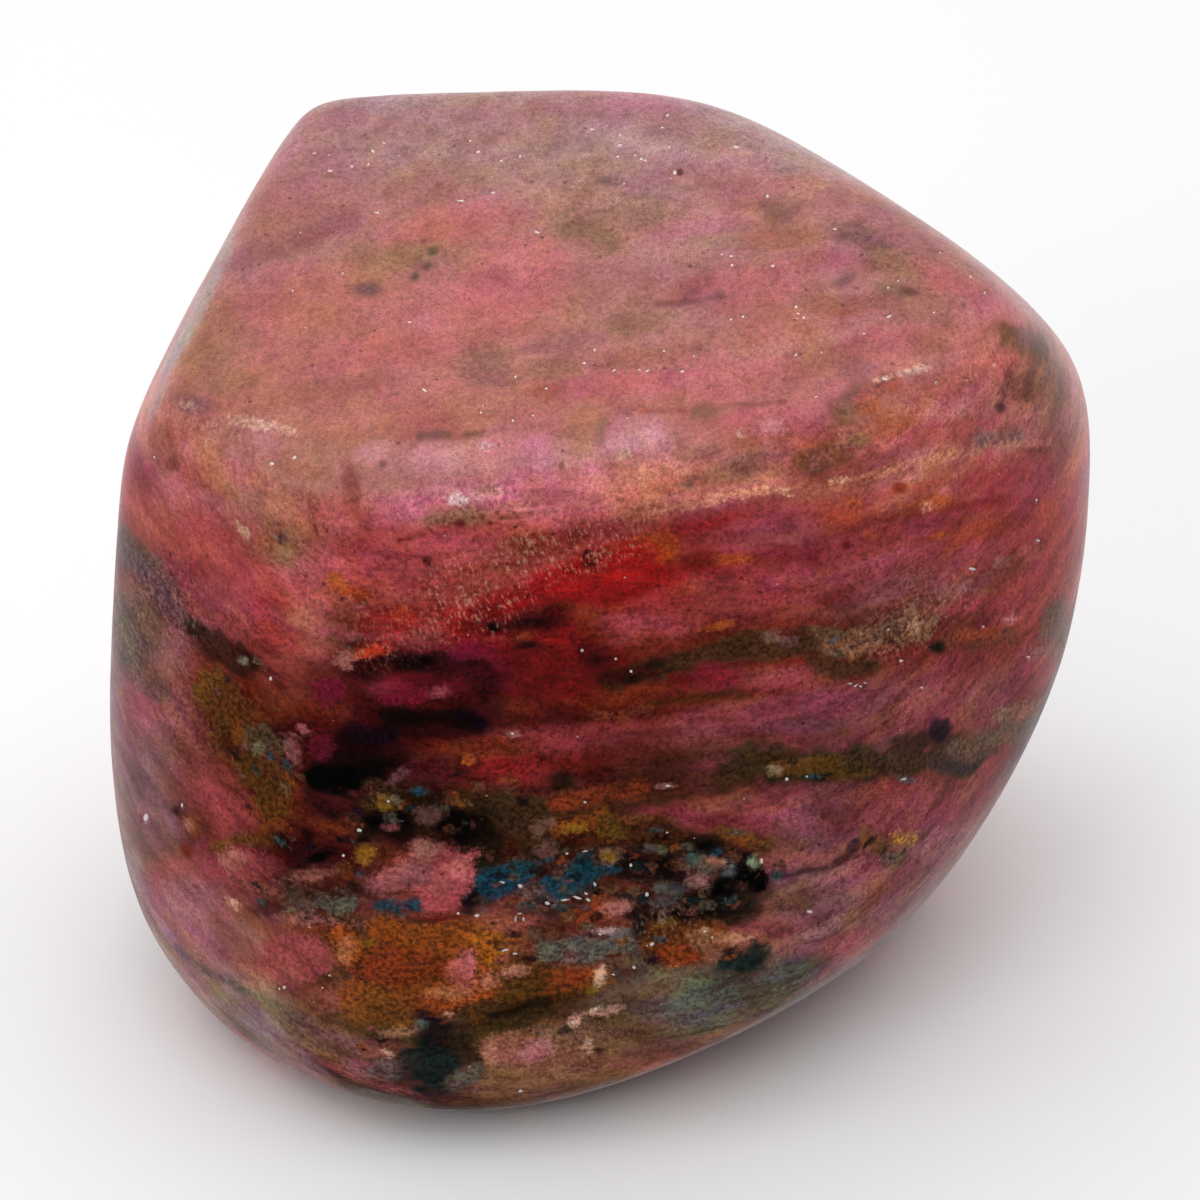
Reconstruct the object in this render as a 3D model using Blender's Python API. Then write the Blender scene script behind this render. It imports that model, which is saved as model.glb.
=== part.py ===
"""Rhodonite freeform: one lump of banded pink rhodonite, ground by hand to a
few broad soft facets, polished all over and cut flat underneath so that it
stands up by itself.

Units are metres, +Z is up, the front of the stone faces -Y and its right side
is +X. The origin is the bottom centre of the stone's bounding box, so the
ground base lies on z = 0.

The stone has no straight axis and no repeated section, so it is described the
way a lapidary makes it: as broad flats ground one after another around a
heart point, whose edges are then rolled over on a soft wheel. Every flat has
a direction, a distance from the heart and an edge hardness. A low hardness
melts the flat into its neighbours over a wide round edge, a high one leaves a
narrow crisp edge.
"""
import math

import bmesh
import bpy
import numpy as np

MM = 0.001

# ---------------------------------------------------------------- dimensions
# Height of the heart above the ground base, and its place in plan measured
# from the middle of the bounding box (millimetres).
HEART_HEIGHT = 31.5
HEART_RIGHT = 2.35
HEART_BACK = 1.37

# The base is lapped truly flat after the polishing, so its rim is a narrow
# eased edge: the soft base flat lies this far below the lapped plane.
BASE_EASE = 0.4
BASE_HARDNESS = 60.0

# Ground flats: name, azimuth (0 front, +90 right, 180 back), elevation of the
# outward normal, distance from the heart in millimetres, edge hardness.
FLATS = [
    ("broad top, dipping a little to the front", -11, 75, 35.5, 27),
    ("front", 6, 7, 24.5, 15),
    ("left front shoulder", -37, 5, 35.0, 12),
    ("left side", -89, 3, 41.0, 16),
    ("upper left, crisp edge to the top", -98, 33, 44.0, 60),
    ("left rear, crisp edge", -114, 9, 35.0, 60),
    ("rear left", -150, 5, 30.5, 16),
    ("back", 179, 10, 22.0, 16),
    ("upper back", 175, 45, 44.5, 26),
    ("upper right rear", 134, 44, 38.0, 20),
    ("upper right", 114, 38, 41.5, 16),
    ("right side", 93, 1, 37.0, 14),
    ("right front shoulder", 45, 3, 28.0, 9),
    ("under right", 74, -22, 35.0, 13),
    ("under right front, outer", 59, -29, 35.0, 13),
    ("under right front, inner", 35, -44, 34.0, 14),
    ("under front", 0, -46, 41.0, 14),
    ("under left front, inner", -28, -42, 46.0, 13),
    ("under left front, outer", -59, -31, 48.5, 12),
    ("under left rear", -110, -32, 44.5, 12),
    ("under right rear", 125, -26, 37.5, 12),
    ("under back", 180, -40, 36.0, 12),
]

# Icosphere subdivision: 5 gives 2562 points and 5120 triangles, about 2.4 mm
# from point to point.
DETAIL = 5

# Two triangles that bend inwards by more than this angle (radians) make a
# notch, which is filled by turning their shared edge.
NOTCH = 0.01

# Average colour of the polished stone (linear), and its polish.
STONE_COLOUR = (0.36, 0.12, 0.11, 1.0)
STONE_ROUGHNESS = 0.28


# ------------------------------------------------------------------ the form
def flat_normal(azimuth, elevation):
    """Outward unit normal of a flat from its azimuth and elevation."""
    az, el = math.radians(azimuth), math.radians(elevation)
    return (math.sin(az) * math.cos(el), -math.cos(az) * math.cos(el), math.sin(el))


def stone_radius(directions):
    """Distance from the heart to the polished skin, in millimetres.

    Along a unit direction u, the distance r solves
        sum over flats of (r * (n . u) / d) ** hardness = 1,
    the soft minimum of the distances to all the flats. It is found by
    Newton's method on log r.
    """
    normals = [flat_normal(az, el) for _, az, el, _, _ in FLATS] + [(0.0, 0.0, -1.0)]
    dist = [d for _, _, _, d, _ in FLATS] + [HEART_HEIGHT + BASE_EASE]
    hard = np.array([float(h) for *_, h in FLATS] + [BASE_HARDNESS])
    reach = directions @ np.array(normals).T / np.array(dist)
    log_reach = np.log(np.maximum(reach, 1e-9))
    log_r = -log_reach.max(axis=1)
    for _ in range(12):
        term = np.exp(np.clip(hard * (log_r[:, None] + log_reach), -60.0, 60.0))
        total = term.sum(axis=1)
        log_r = log_r - np.log(total) / ((hard * term).sum(axis=1) / total)
    r = np.exp(log_r)
    # lap the base flat: nothing reaches below the base plane
    down = np.maximum(-directions[:, 2], 1e-9)
    return np.minimum(r, HEART_HEIGHT / down)


def fill_notches(bm):
    """Turn the shared edge of every two triangles that meet in a notch.

    Grinding flats leaves no hollow anywhere, so a notch only means that the
    edge runs across a rolled edge of the stone instead of along it.
    """
    for _ in range(8):
        notched = [e for e in bm.edges if e.calc_face_angle_signed(0.0) < -NOTCH]
        if not notched:
            break
        for edge in notched:
            if edge.is_valid and edge.calc_face_angle_signed(0.0) < -NOTCH:
                bmesh.utils.edge_rotate(edge, True)


def make_stone(name):
    """One closed body: an icosphere whose points are moved out to the skin."""
    bm = bmesh.new()
    bmesh.ops.create_icosphere(bm, subdivisions=DETAIL, radius=1.0)
    unit = np.array([v.co[:] for v in bm.verts], dtype=float)
    unit /= np.linalg.norm(unit, axis=1)[:, None]
    skin = unit * stone_radius(unit)[:, None]
    on_base = skin[:, 2] < -HEART_HEIGHT + 1e-6
    skin += (HEART_RIGHT, HEART_BACK, HEART_HEIGHT)
    skin[on_base, 2] = 0.0
    for vert, place in zip(bm.verts, skin * MM):
        vert.co = place
    bmesh.ops.recalc_face_normals(bm, faces=list(bm.faces))
    fill_notches(bm)
    mesh = bpy.data.meshes.new(name)
    bm.to_mesh(mesh)
    bm.free()
    mesh.shade_smooth()
    obj = bpy.data.objects.new(name, mesh)
    bpy.context.scene.collection.objects.link(obj)
    return obj


def stone_material():
    mat = bpy.data.materials.new("polished_rhodonite")
    mat.use_nodes = True
    bsdf = mat.node_tree.nodes["Principled BSDF"]
    bsdf.inputs["Base Color"].default_value = STONE_COLOUR
    bsdf.inputs["Roughness"].default_value = STONE_ROUGHNESS
    bsdf.inputs["Metallic"].default_value = 0.0
    return mat


def main():
    for obj in list(bpy.data.objects):
        bpy.data.objects.remove(obj, do_unlink=True)
    stone = make_stone("rhodonite_stone")
    stone.data.materials.append(stone_material())


main()
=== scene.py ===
"""Looks of the rhodonite freeform: the fine polished skin, its mineral markings
with painted shade and painted highlights, chips and pits with painted glints,
a pale floor, soft studio light and the camera.

The skin is the same ground form as the solid, on a finer mesh, with a little
hand-ground waviness and real chips. The markings are a map of mineral
patches, listed one by one. Each patch is placed by where it shows
in the camera's view, in a 1200 x 1200 frame, and is carried onto the stone
as a small lens of mineral. The hidden side is banded by the same bedding
planes. The shader breaks every patch's edge up with streaky noise, and adds
the sugary grain, veins, specks and polish.
"""
import math

import bmesh
import bpy
import numpy as np
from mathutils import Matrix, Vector


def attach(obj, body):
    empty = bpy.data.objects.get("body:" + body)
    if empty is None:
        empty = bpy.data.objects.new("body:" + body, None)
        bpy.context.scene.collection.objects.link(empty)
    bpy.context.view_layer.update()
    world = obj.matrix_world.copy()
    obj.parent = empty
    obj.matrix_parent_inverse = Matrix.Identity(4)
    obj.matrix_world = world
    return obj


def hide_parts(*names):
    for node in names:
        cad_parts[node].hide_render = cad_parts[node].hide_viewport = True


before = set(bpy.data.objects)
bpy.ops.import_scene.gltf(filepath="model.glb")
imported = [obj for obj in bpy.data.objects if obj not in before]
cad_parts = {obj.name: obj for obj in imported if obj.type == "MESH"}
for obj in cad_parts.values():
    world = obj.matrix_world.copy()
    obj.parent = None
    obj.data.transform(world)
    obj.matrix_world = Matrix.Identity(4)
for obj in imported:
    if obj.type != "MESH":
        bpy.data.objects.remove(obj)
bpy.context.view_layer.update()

MM = 0.001

# ============================================================== the ground form
HEART = np.array([2.35, 1.37, 31.5])       # heart point, in the part's frame, mm
BASE_EASE, BASE_HARDNESS = 0.4, 60.0
FLATS = [   # azimuth (0 front, +90 right), elevation, distance mm, edge hardness
    (-11, 75, 35.5, 27), (6, 7, 24.5, 15), (-37, 5, 35.0, 12), (-89, 3, 41.0, 16),
    (-98, 33, 44.0, 60), (-114, 9, 35.0, 60), (-150, 5, 30.5, 16), (179, 10, 22.0, 16),
    (175, 45, 44.5, 26), (134, 44, 38.0, 20), (114, 38, 41.5, 16), (93, 1, 37.0, 14),
    (45, 3, 28.0, 9), (74, -22, 35.0, 13), (59, -29, 35.0, 13), (35, -44, 34.0, 14),
    (0, -46, 41.0, 14), (-28, -42, 46.0, 13), (-59, -31, 48.5, 12), (-110, -32, 44.5, 12),
    (125, -26, 37.5, 12), (180, -40, 36.0, 12),
]


def direction(azimuth, elevation):
    az, el = math.radians(azimuth), math.radians(elevation)
    return (math.sin(az) * math.cos(el), -math.cos(az) * math.cos(el), math.sin(el))


NORMALS = np.array([direction(a, e) for a, e, _, _ in FLATS] + [(0.0, 0.0, -1.0)])
DISTS = np.array([f[2] for f in FLATS] + [HEART[2] + BASE_EASE])
HARD = np.array([float(f[3]) for f in FLATS] + [BASE_HARDNESS])


def skin_radius(u):
    """Distance from the heart to the skin along unit directions u, in mm."""
    log_reach = np.log(np.maximum(u @ NORMALS.T / DISTS, 1e-9))
    log_r = -log_reach.max(axis=1)
    for _ in range(12):
        term = np.exp(np.clip(HARD * (log_r[:, None] + log_reach), -60, 60))
        total = term.sum(axis=1)
        log_r = log_r - np.log(total) / ((HARD * term).sum(axis=1) / total)
    return np.minimum(np.exp(log_r), HEART[2] / np.maximum(-u[:, 2], 1e-9))


def skin_normal(p):
    """Outward unit normal of the ground form at points p (part frame, mm)."""
    q = p - HEART
    a = np.maximum(q @ NORMALS.T / DISTS, 1e-9)
    w = HARD * np.exp(np.clip((HARD - 1) * np.log(a), -60, 60)) / DISTS
    n = w @ NORMALS
    n /= np.linalg.norm(n, axis=1)[:, None]
    n[q[:, 2] < -HEART[2] + 1e-4] = (0, 0, -1)
    return n


# ================================================================== the camera
ELEVATION, DISTANCE, LENS, SENSOR = 38.0, 400.0, 156.3, 36.0
AIM = np.array([0.05, -5.73, 38.4])
_e = math.radians(ELEVATION)
RIGHT = np.array([1.0, 0.0, 0.0])
UP = np.array([0.0, math.sin(_e), math.cos(_e)])
BACK = np.array([0.0, -math.cos(_e), math.sin(_e)])
EYE = AIM + BACK * DISTANCE
FPX = 1200.0 * LENS / SENSOR
PX = DISTANCE / FPX                           # mm per pixel at the aim


def to_view(p):
    q = p - AIM
    z = DISTANCE - q @ BACK
    return np.stack([600 + FPX * (q @ RIGHT) / z, 600 - FPX * (q @ UP) / z], axis=1)


def to_skin(x, y):
    """The point of the skin behind pixel (x, y); past the outline, the nearest."""
    x, y = np.atleast_1d(np.asarray(x, float)), np.atleast_1d(np.asarray(y, float))
    d = (x[:, None] - 600) / FPX * RIGHT - (y[:, None] - 600) / FPX * UP - BACK
    d /= np.linalg.norm(d, axis=1)[:, None]
    ts = np.linspace(330, 470, 281)
    pts = EYE + d[:, None, :] * ts[None, :, None] - HEART
    flat = pts.reshape(-1, 3)
    length = np.linalg.norm(flat, axis=1)
    depth = (length - skin_radius(flat / length[:, None])).reshape(len(x), -1)
    out = np.zeros((len(x), 3))
    for i in range(len(x)):
        hit = np.nonzero(depth[i] < 0)[0]
        if len(hit) and hit[0] > 0:
            k = hit[0]
            a, b = depth[i, k - 1], depth[i, k]
            t = ts[k - 1] + (ts[k] - ts[k - 1]) * a / (a - b)
        else:
            t = ts[depth[i].argmin()]
        p = EYE + d[i] * t - HEART
        u = p / np.linalg.norm(p)
        out[i] = u * skin_radius(u[None])[0] + HEART
    return out


# ============================================================ noise for the map
def value_noise(p, seed):
    """Smooth noise from -1 to 1 with a feature size of about one unit."""
    i = np.floor(p).astype(np.int64)
    f = p - i
    f = f * f * f * (f * (f * 6 - 15) + 10)
    total = np.zeros(len(p))
    for dx in (0, 1):
        for dy in (0, 1):
            for dz in (0, 1):
                h = ((i[:, 0] + dx) * 73856093) ^ ((i[:, 1] + dy) * 19349663) ^ ((i[:, 2] + dz) * 83492791) ^ (seed * 2654435761)
                h = (h ^ (h >> 13)) * 1274126177 & 0xFFFFFFFF
                h = (h ^ (h >> 16)) & 0xFFFF
                w = (f[:, 0] if dx else 1 - f[:, 0]) * (f[:, 1] if dy else 1 - f[:, 1]) * (f[:, 2] if dz else 1 - f[:, 2])
                total += w * (h / 32767.5 - 1.0)
    return total


def fbm(p, seed, octaves=3):
    total, amp, norm = 0.0, 1.0, 0.0
    for o in range(octaves):
        total = total + amp * value_noise(p * 2.0 ** o, seed + 17 * o)
        norm += amp
        amp *= 0.5
    return total / norm


# The bedding of the rock dips to the front: its planes show as level bands on
# the front, run down to the right on the left flank, and lie flat under the top.
BEDDING = np.array([0.10, -0.51, 0.85])
BEDDING /= np.linalg.norm(BEDDING)
STRIKE = np.cross(BEDDING, (0.0, 0.0, 1.0))
STRIKE /= np.linalg.norm(STRIKE)
DIP = np.cross(BEDDING, STRIKE)


def bed(p, along, across):
    """Coordinates stretched along the bedding, for streaky noise."""
    return np.stack([p @ STRIKE / along, p @ DIP / along, p @ BEDDING / across], axis=1)


# =========================================================== the mineral colours
def lin(r, g, b):
    return tuple(((c / 255 + 0.055) / 1.055) ** 2.4 if c > 10 else c / 255 / 12.92 for c in (r, g, b))


C = {
    # rhodonite, from pale to deep
    "lilac": lin(196, 158, 170), "palepink": lin(206, 140, 148), "pink": lin(196, 114, 120), "rose": lin(190, 102, 106),
    "deeprose": lin(170, 80, 84), "salmon": lin(184, 108, 96), "dusty": lin(176, 120, 114), "duskpink": lin(156, 76, 82),
    "brickrose": lin(150, 72, 68), "mauve": lin(148, 92, 98), "greymauve": lin(122, 86, 86), "ashrose": lin(134, 90, 90),
    "pearl": lin(152, 124, 122), "wine": lin(140, 60, 66), "heather": lin(136, 68, 78), "rosewood": lin(122, 58, 58),
    "rubine": lin(160, 44, 58), "cherry": lin(150, 14, 30), "crimson": lin(140, 30, 38), "raspberry": lin(128, 20, 50),
    "magenta": lin(110, 6, 52), "scarlet": lin(160, 2, 8), "blood": lin(136, 5, 8), "garnet": lin(110, 44, 38),
    "oxblood": lin(84, 28, 24), "maroon": lin(98, 22, 26), "darkwine": lin(96, 38, 42),
    # iron and manganese stains
    "peach": lin(196, 134, 106), "orange": lin(166, 82, 28), "fire": lin(164, 70, 6), "ember": lin(148, 32, 4),
    "rustorange": lin(150, 68, 30), "amber": lin(122, 68, 8), "honey": lin(144, 84, 18), "ochre": lin(146, 112, 26),
    "rust": lin(122, 56, 24), "chestnut": lin(100, 40, 18), "redbrown": lin(118, 38, 26), "brown": lin(96, 54, 36),
    "walnut": lin(82, 44, 22), "cocoa": lin(66, 34, 26), "umber": lin(60, 34, 18), "saddle": lin(94, 58, 40),
    "tan": lin(172, 118, 96), "clay": lin(156, 98, 80), "olivetan": lin(150, 112, 84), "sepia": lin(98, 72, 48),
    "olive": lin(90, 66, 24), "olivebrown": lin(100, 72, 44), "khaki": lin(120, 94, 74), "darkolive": lin(58, 45, 28),
    "greenblack": lin(32, 28, 18), "moss": lin(84, 76, 60), "greygreen": lin(100, 94, 82),
    # oxides and quartz
    "black": lin(8, 5, 8), "plum": lin(42, 8, 22), "purpleblack": lin(26, 5, 14), "navy": lin(12, 11, 28),
    "teal": lin(12, 66, 84), "deepteal": lin(22, 38, 40), "midteal": lin(48, 68, 68), "greyteal": lin(84, 98, 92),
    "slate": lin(90, 84, 86), "bluegrey": lin(110, 106, 114), "fog": lin(168, 148, 142), "cream": lin(212, 168, 142),
    "white": lin(232, 216, 206), "palegreen": lin(126, 134, 108),
}

# Soft clouds under everything: colour, x, y, half length, half width, turn in
# degrees anticlockwise, strength. Pixels of the 1200 x 1200 view.
WASH = [
    # --- the ground tone of each part of the stone
    ("dusty", 560, 250, 520, 200, 0, 1.0), ("salmon", 300, 350, 240, 70, 10, 0.6), ("salmon", 620, 400, 420, 60, 4, 0.5),
    ("brickrose", 560, 560, 520, 62, 4, 1.0), ("garnet", 640, 655, 420, 56, 4, 1.0), ("oxblood", 500, 735, 330, 62, 3, 1.0),
    ("cocoa", 500, 835, 300, 56, 0, 0.95), ("saddle", 480, 910, 290, 46, 0, 0.9), ("sepia", 430, 1000, 220, 66, 0, 0.9),
    ("garnet", 880, 690, 150, 50, 12, 0.7), ("rosewood", 900, 830, 150, 90, 30, 0.9), ("ashrose", 940, 870, 90, 60, 30, 0.7),
    ("clay", 560, 1070, 120, 44, 0, 0.7), ("ashrose", 150, 760, 62, 220, 0, 0.95), ("duskpink", 142, 590, 30, 110, 0, 0.5), ("mauve", 130, 740, 26, 120, 0, 0.45), ("garnet", 235, 650, 60, 90, 0, 0.8),
    ("walnut", 255, 760, 54, 80, 0, 0.9), ("rosewood", 230, 850, 60, 46, 0, 0.8), ("dusty", 225, 950, 80, 60, -30, 0.85),
    ("deeprose", 220, 560, 110, 60, -10, 0.6), ("wine", 1010, 560, 90, 110, 0, 0.7), ("rosewood", 960, 690, 100, 40, 12, 0.6),
    # --- top face, back edge first; the lilac and pale fog along the back edge are a painted reflection on the rim
    ("lilac", 600, 128, 340, 34, 0, 0.38), ("fog", 420, 100, 190, 11, 2, 0.7), ("mauve", 560, 108, 150, 14, 0, 0.5), ("fog", 760, 132, 110, 18, -27, 0.7),
    ("mauve", 330, 125, 60, 20, 10, 0.5), ("clay", 470, 128, 110, 18, 3, 0.5), ("clay", 330, 190, 74, 40, 15, 0.6),
    ("mauve", 290, 160, 30, 30, 0, 0.3), ("clay", 510, 138, 60, 12, 3, 0.5), ("olivetan", 690, 130, 60, 16, -12, 0.6), ("khaki", 568, 143, 44, 10, 4, 0.55),
    ("olivetan", 568, 163, 60, 12, 4, 0.5), ("mauve", 290, 245, 74, 15, 22, 0.75), ("mauve", 215, 268, 40, 14, 25, 0.5), ("wine", 330, 232, 30, 5, 22, 0.3),
    ("rose", 452, 222, 80, 26, 8, 0.7), ("olivetan", 392, 262, 60, 22, 12, 0.75), ("khaki", 368, 289, 20, 9, 10, 0.7),
    ("salmon", 300, 300, 110, 30, 12, 0.5), ("olivetan", 205, 340, 50, 46, 50, 0.55), ("pink", 450, 306, 90, 24, 8, 0.6),
    ("rose", 515, 285, 60, 50, 10, 0.6), ("pink", 520, 262, 50, 20, 6, 0.5), ("duskpink", 410, 340, 70, 8, 8, 0.25),
    ("olivetan", 605, 205, 80, 42, 6, 0.5), ("khaki", 570, 222, 26, 18, 0, 0.5), ("greymauve", 604, 180, 22, 7, 0, 0.65),
    ("khaki", 602, 241, 18, 11, 0, 0.45), ("khaki", 645, 206, 20, 14, 0, 0.4), ("khaki", 604, 212, 16, 9, 0, 0.3), ("greymauve", 660, 190, 40, 7, 10, 0.4),
    ("pink", 690, 225, 60, 14, 8, 0.4), ("clay", 740, 190, 60, 22, -10, 0.4), ("fog", 778, 168, 34, 8, -10, 0.5),
    ("olivetan", 715, 240, 32, 10, 4, 0.6), ("greymauve", 780, 207, 20, 12, 0, 0.6), ("clay", 790, 235, 40, 14, 0, 0.6),
    ("rose", 762, 290, 60, 30, 8, 0.6), ("wine", 692, 289, 34, 12, 18, 0.5), ("mauve", 700, 302, 50, 6, 8, 0.5),
    ("olivetan", 640, 319, 40, 12, 8, 0.6), ("clay", 620, 290, 40, 16, 8, 0.4), ("salmon", 790, 330, 60, 18, 8, 0.5), ("greymauve", 486, 358, 34, 20, 20, 0.5),
    ("mauve", 535, 347, 34, 6, 8, 0.6), ("olivetan", 552, 367, 34, 11, 8, 0.6), ("clay", 317, 392, 80, 12, 10, 0.5), ("greymauve", 500, 382, 24, 6, 0, 0.4),
    ("rose", 400, 350, 90, 20, 8, 0.5), ("rose", 610, 386, 70, 13, 6, 0.7), ("clay", 340, 440, 60, 14, 6, 0.5),
    ("rose", 720, 380, 90, 18, 7, 0.6), ("rustorange", 543, 392, 22, 7, 6, 0.4), ("clay", 640, 356, 60, 10, 6, 0.4),
    ("greymauve", 857, 232, 34, 15, -20, 0.65), ("mauve", 900, 225, 50, 16, -32, 0.5), ("olivetan", 894, 264, 36, 18, -10, 0.75),
    ("clay", 851, 305, 44, 12, 0, 0.8), ("khaki", 894, 291, 22, 8, -10, 0.65), ("rose", 830, 262, 40, 12, 0, 0.4), ("rustorange", 845, 315, 24, 5, 0, 0.35),
    ("rose", 950, 282, 44, 16, -28, 0.6), ("pink", 1000, 308, 36, 24, -40, 0.7), ("rose", 900, 345, 60, 16, 8, 0.6),
    ("clay", 950, 340, 46, 14, 15, 0.6), ("wine", 870, 335, 26, 6, 30, 0.35), ("mauve", 857, 372, 22, 9, 12, 0.6),
    ("rustorange", 935, 388, 60, 15, 14, 0.5), ("clay", 840, 356, 50, 12, 6, 0.5), ("clay", 800, 372, 40, 10, 6, 0.4),
    # the pale fog strip down the narrow left facet is a painted reflection
    ("fog", 232, 246, 5, 22, -24, 0.8), ("fog", 204, 292, 6, 34, -26, 0.8), ("fog", 176, 350, 7, 36, -24, 0.9), ("fog", 156, 396, 5, 26, -30, 0.6),
    ("palepink", 540, 150, 330, 62, 0, 0.34), ("palepink", 330, 170, 80, 50, 10, 0.25), ("pink", 990, 335, 44, 26, -20, 0.4), ("dusty", 300, 460, 60, 26, 0, 0.3),
    # --- left part of the top, and the left end
    ("greymauve", 192, 402, 28, 11, -20, 0.6), ("olivetan", 225, 385, 50, 14, 5, 0.4), ("salmon", 340, 425, 60, 12, 8, 0.4),
    ("clay", 165, 436, 36, 14, 15, 0.5), ("clay", 279, 486, 56, 46, 0, 0.85), ("mauve", 230, 466, 26, 14, 0, 0.4),
    ("duskpink", 138, 484, 22, 32, 0, 0.8), ("rustorange", 200, 482, 34, 14, -30, 0.4), ("duskpink", 205, 525, 30, 26, -40, 0.4),
    ("duskpink", 210, 560, 50, 26, -35, 0.6), ("clay", 300, 556, 40, 16, 0, 0.6), ("olivetan", 280, 550, 22, 10, -20, 0.55),
    ("rustorange", 266, 541, 16, 8, -30, 0.6), ("duskpink", 230, 590, 40, 22, -35, 0.7), ("heather", 228, 608, 20, 10, -20, 0.6), ("magenta", 248, 612, 10, 6, 0, 0.5),
    ("rubine", 268, 606, 20, 12, 0, 0.5), ("wine", 288, 584, 14, 9, 20, 0.6), ("rubine", 270, 632, 34, 14, -25, 0.6),
    ("clay", 308, 620, 18, 18, 0, 0.6), ("redbrown", 202, 572, 12, 14, -20, 0.5), ("mauve", 128, 598, 14, 18, 0, 0.5), ("brickrose", 165, 620, 30, 30, -40, 0.4),
    ("brickrose", 330, 560, 36, 30, 0, 0.5), ("duskpink", 320, 510, 30, 14, 0, 0.4), ("deeprose", 240, 540, 20, 12, 0, 0.4),
    # --- ridge band: tan, khaki and rose minerals, and pale pink and cream washes painted as the highlight along the rounded ridge
    ("palepink", 470, 458, 110, 24, 5, 0.8), ("pink", 512, 450, 44, 18, 5, 0.7), ("tan", 573, 446, 26, 24, 0, 0.75),
    ("khaki", 603, 432, 8, 14, 0, 0.6), ("palepink", 640, 440, 36, 26, 5, 0.75), ("olivetan", 408, 487, 44, 16, 5, 0.8),
    ("cream", 468, 496, 34, 9, 5, 0.5), ("clay", 366, 455, 24, 16, 0, 0.5), ("pink", 560, 478, 60, 16, 8, 0.7),
    ("tan", 655, 468, 46, 20, 0, 0.7), ("clay", 640, 500, 60, 16, 8, 0.7), ("rose", 765, 418, 64, 18, 6, 0.8), ("clay", 560, 500, 70, 12, 8, 0.5),
    ("clay", 742, 442, 26, 9, 0, 0.6), ("khaki", 728, 470, 42, 16, 12, 0.8), ("greymauve", 765, 455, 34, 11, 10, 0.5),
    ("slate", 692, 484, 12, 9, 0, 0.6), ("khaki", 700, 452, 26, 9, 10, 0.5), ("duskpink", 720, 499, 50, 6, 8, 0.5), ("clay", 700, 488, 50, 8, 8, 0.5), ("salmon", 800, 440, 34, 10, 6, 0.4),
    ("pink", 446, 432, 40, 8, 4, 0.5), ("greymauve", 450, 512, 60, 8, 6, 0.45), ("clay", 430, 500, 30, 8, 0, 0.4),
    ("rose", 430, 508, 100, 20, 4, 0.6), ("pink", 480, 488, 110, 18, 6, 0.6), ("dusty", 400, 478, 60, 26, 6, 0.5), ("deeprose", 390, 545, 70, 22, 0, 0.6),
    ("rose", 560, 515, 60, 14, 10, 0.5), ("salmon", 640, 492, 60, 14, 8, 0.5), ("pink", 620, 462, 70, 16, 5, 0.4), ("deeprose", 500, 536, 60, 12, 8, 0.5), ("palepink", 400, 450, 50, 14, 5, 0.6),
    ("palepink", 500, 482, 170, 36, 6, 0.45), ("peach", 655, 480, 80, 30, 6, 0.42), ("palepink", 700, 500, 60, 12, 8, 0.4), ("palepink", 420, 500, 60, 18, 0, 0.4),
    # --- front: red heart of the stone
    ("duskpink", 395, 553, 56, 24, 6, 0.85), ("redbrown", 357, 486, 9, 34, 4, 0.55), ("wine", 364, 540, 14, 24, 0, 0.6), ("brickrose", 470, 540, 60, 20, 6, 0.5),
    ("redbrown", 545, 545, 46, 18, 20, 0.6), ("rust", 490, 560, 50, 14, 10, 0.45), ("clay", 470, 585, 60, 22, 20, 0.45), ("clay", 395, 640, 40, 20, 10, 0.35),
    ("brickrose", 420, 600, 46, 26, 6, 0.5), ("redbrown", 430, 575, 46, 9, 6, 0.5), ("duskpink", 410, 575, 30, 8, 0, 0.4),
    ("scarlet", 618, 562, 50, 26, 14, 0.95), ("cherry", 560, 576, 32, 16, 8, 0.85), ("cherry", 612, 590, 46, 14, 8, 0.8),
    ("scarlet", 560, 600, 50, 16, 8, 0.65), ("cherry", 510, 602, 28, 13, 8, 0.7), ("scarlet", 655, 574, 36, 12, 0, 0.7), ("ember", 690, 560, 44, 12, -4, 0.75),
    ("crimson", 640, 604, 60, 16, 8, 0.7), ("duskpink", 640, 626, 70, 14, 8, 0.8), ("rustorange", 600, 608, 24, 8, 10, 0.4), ("wine", 730, 605, 90, 20, 8, 0.6),
    ("chestnut", 489, 612, 24, 9, 8, 0.7), ("walnut", 546, 612, 40, 10, 10, 0.8), ("rust", 582, 627, 28, 16, 0, 0.8), ("rust", 640, 650, 70, 10, 10, 0.4),
    ("crimson", 480, 646, 60, 18, 10, 0.8), ("raspberry", 500, 668, 44, 26, 0, 0.8), ("ember", 400, 620, 18, 18, 0, 0.5), ("redbrown", 370, 625, 30, 12, 0, 0.5),
    ("brickrose", 425, 632, 40, 12, 0, 0.5), ("brown", 345, 620, 22, 22, 0, 0.5), ("rust", 372, 652, 26, 9, 5, 0.7), ("ashrose", 346, 660, 12, 9, 0, 0.5),
    ("raspberry", 560, 660, 70, 26, 0, 0.5), ("maroon", 600, 664, 50, 16, 6, 0.6),
    ("plum", 415, 678, 100, 30, 2, 0.75), ("oxblood", 340, 690, 50, 36, 0, 0.6), ("plum", 400, 742, 110, 38, 2, 0.8), ("purpleblack", 360, 770, 62, 34, 0, 0.8),
    ("plum", 480, 706, 40, 22, 0, 0.6), ("oxblood", 480, 776, 60, 20, 2, 0.5), ("oxblood", 300, 760, 30, 50, 0, 0.6), ("magenta", 450, 682, 60, 16, 4, 0.45),
    ("deeprose", 412, 562, 66, 36, 0, 0.6), ("umber", 690, 782, 90, 15, 2, 0.55), ("oxblood", 612, 742, 60, 14, 4, 0.5), ("umber", 630, 782, 50, 18, 0, 0.5), ("darkwine", 590, 590, 80, 16, 6, 0.3),
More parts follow.
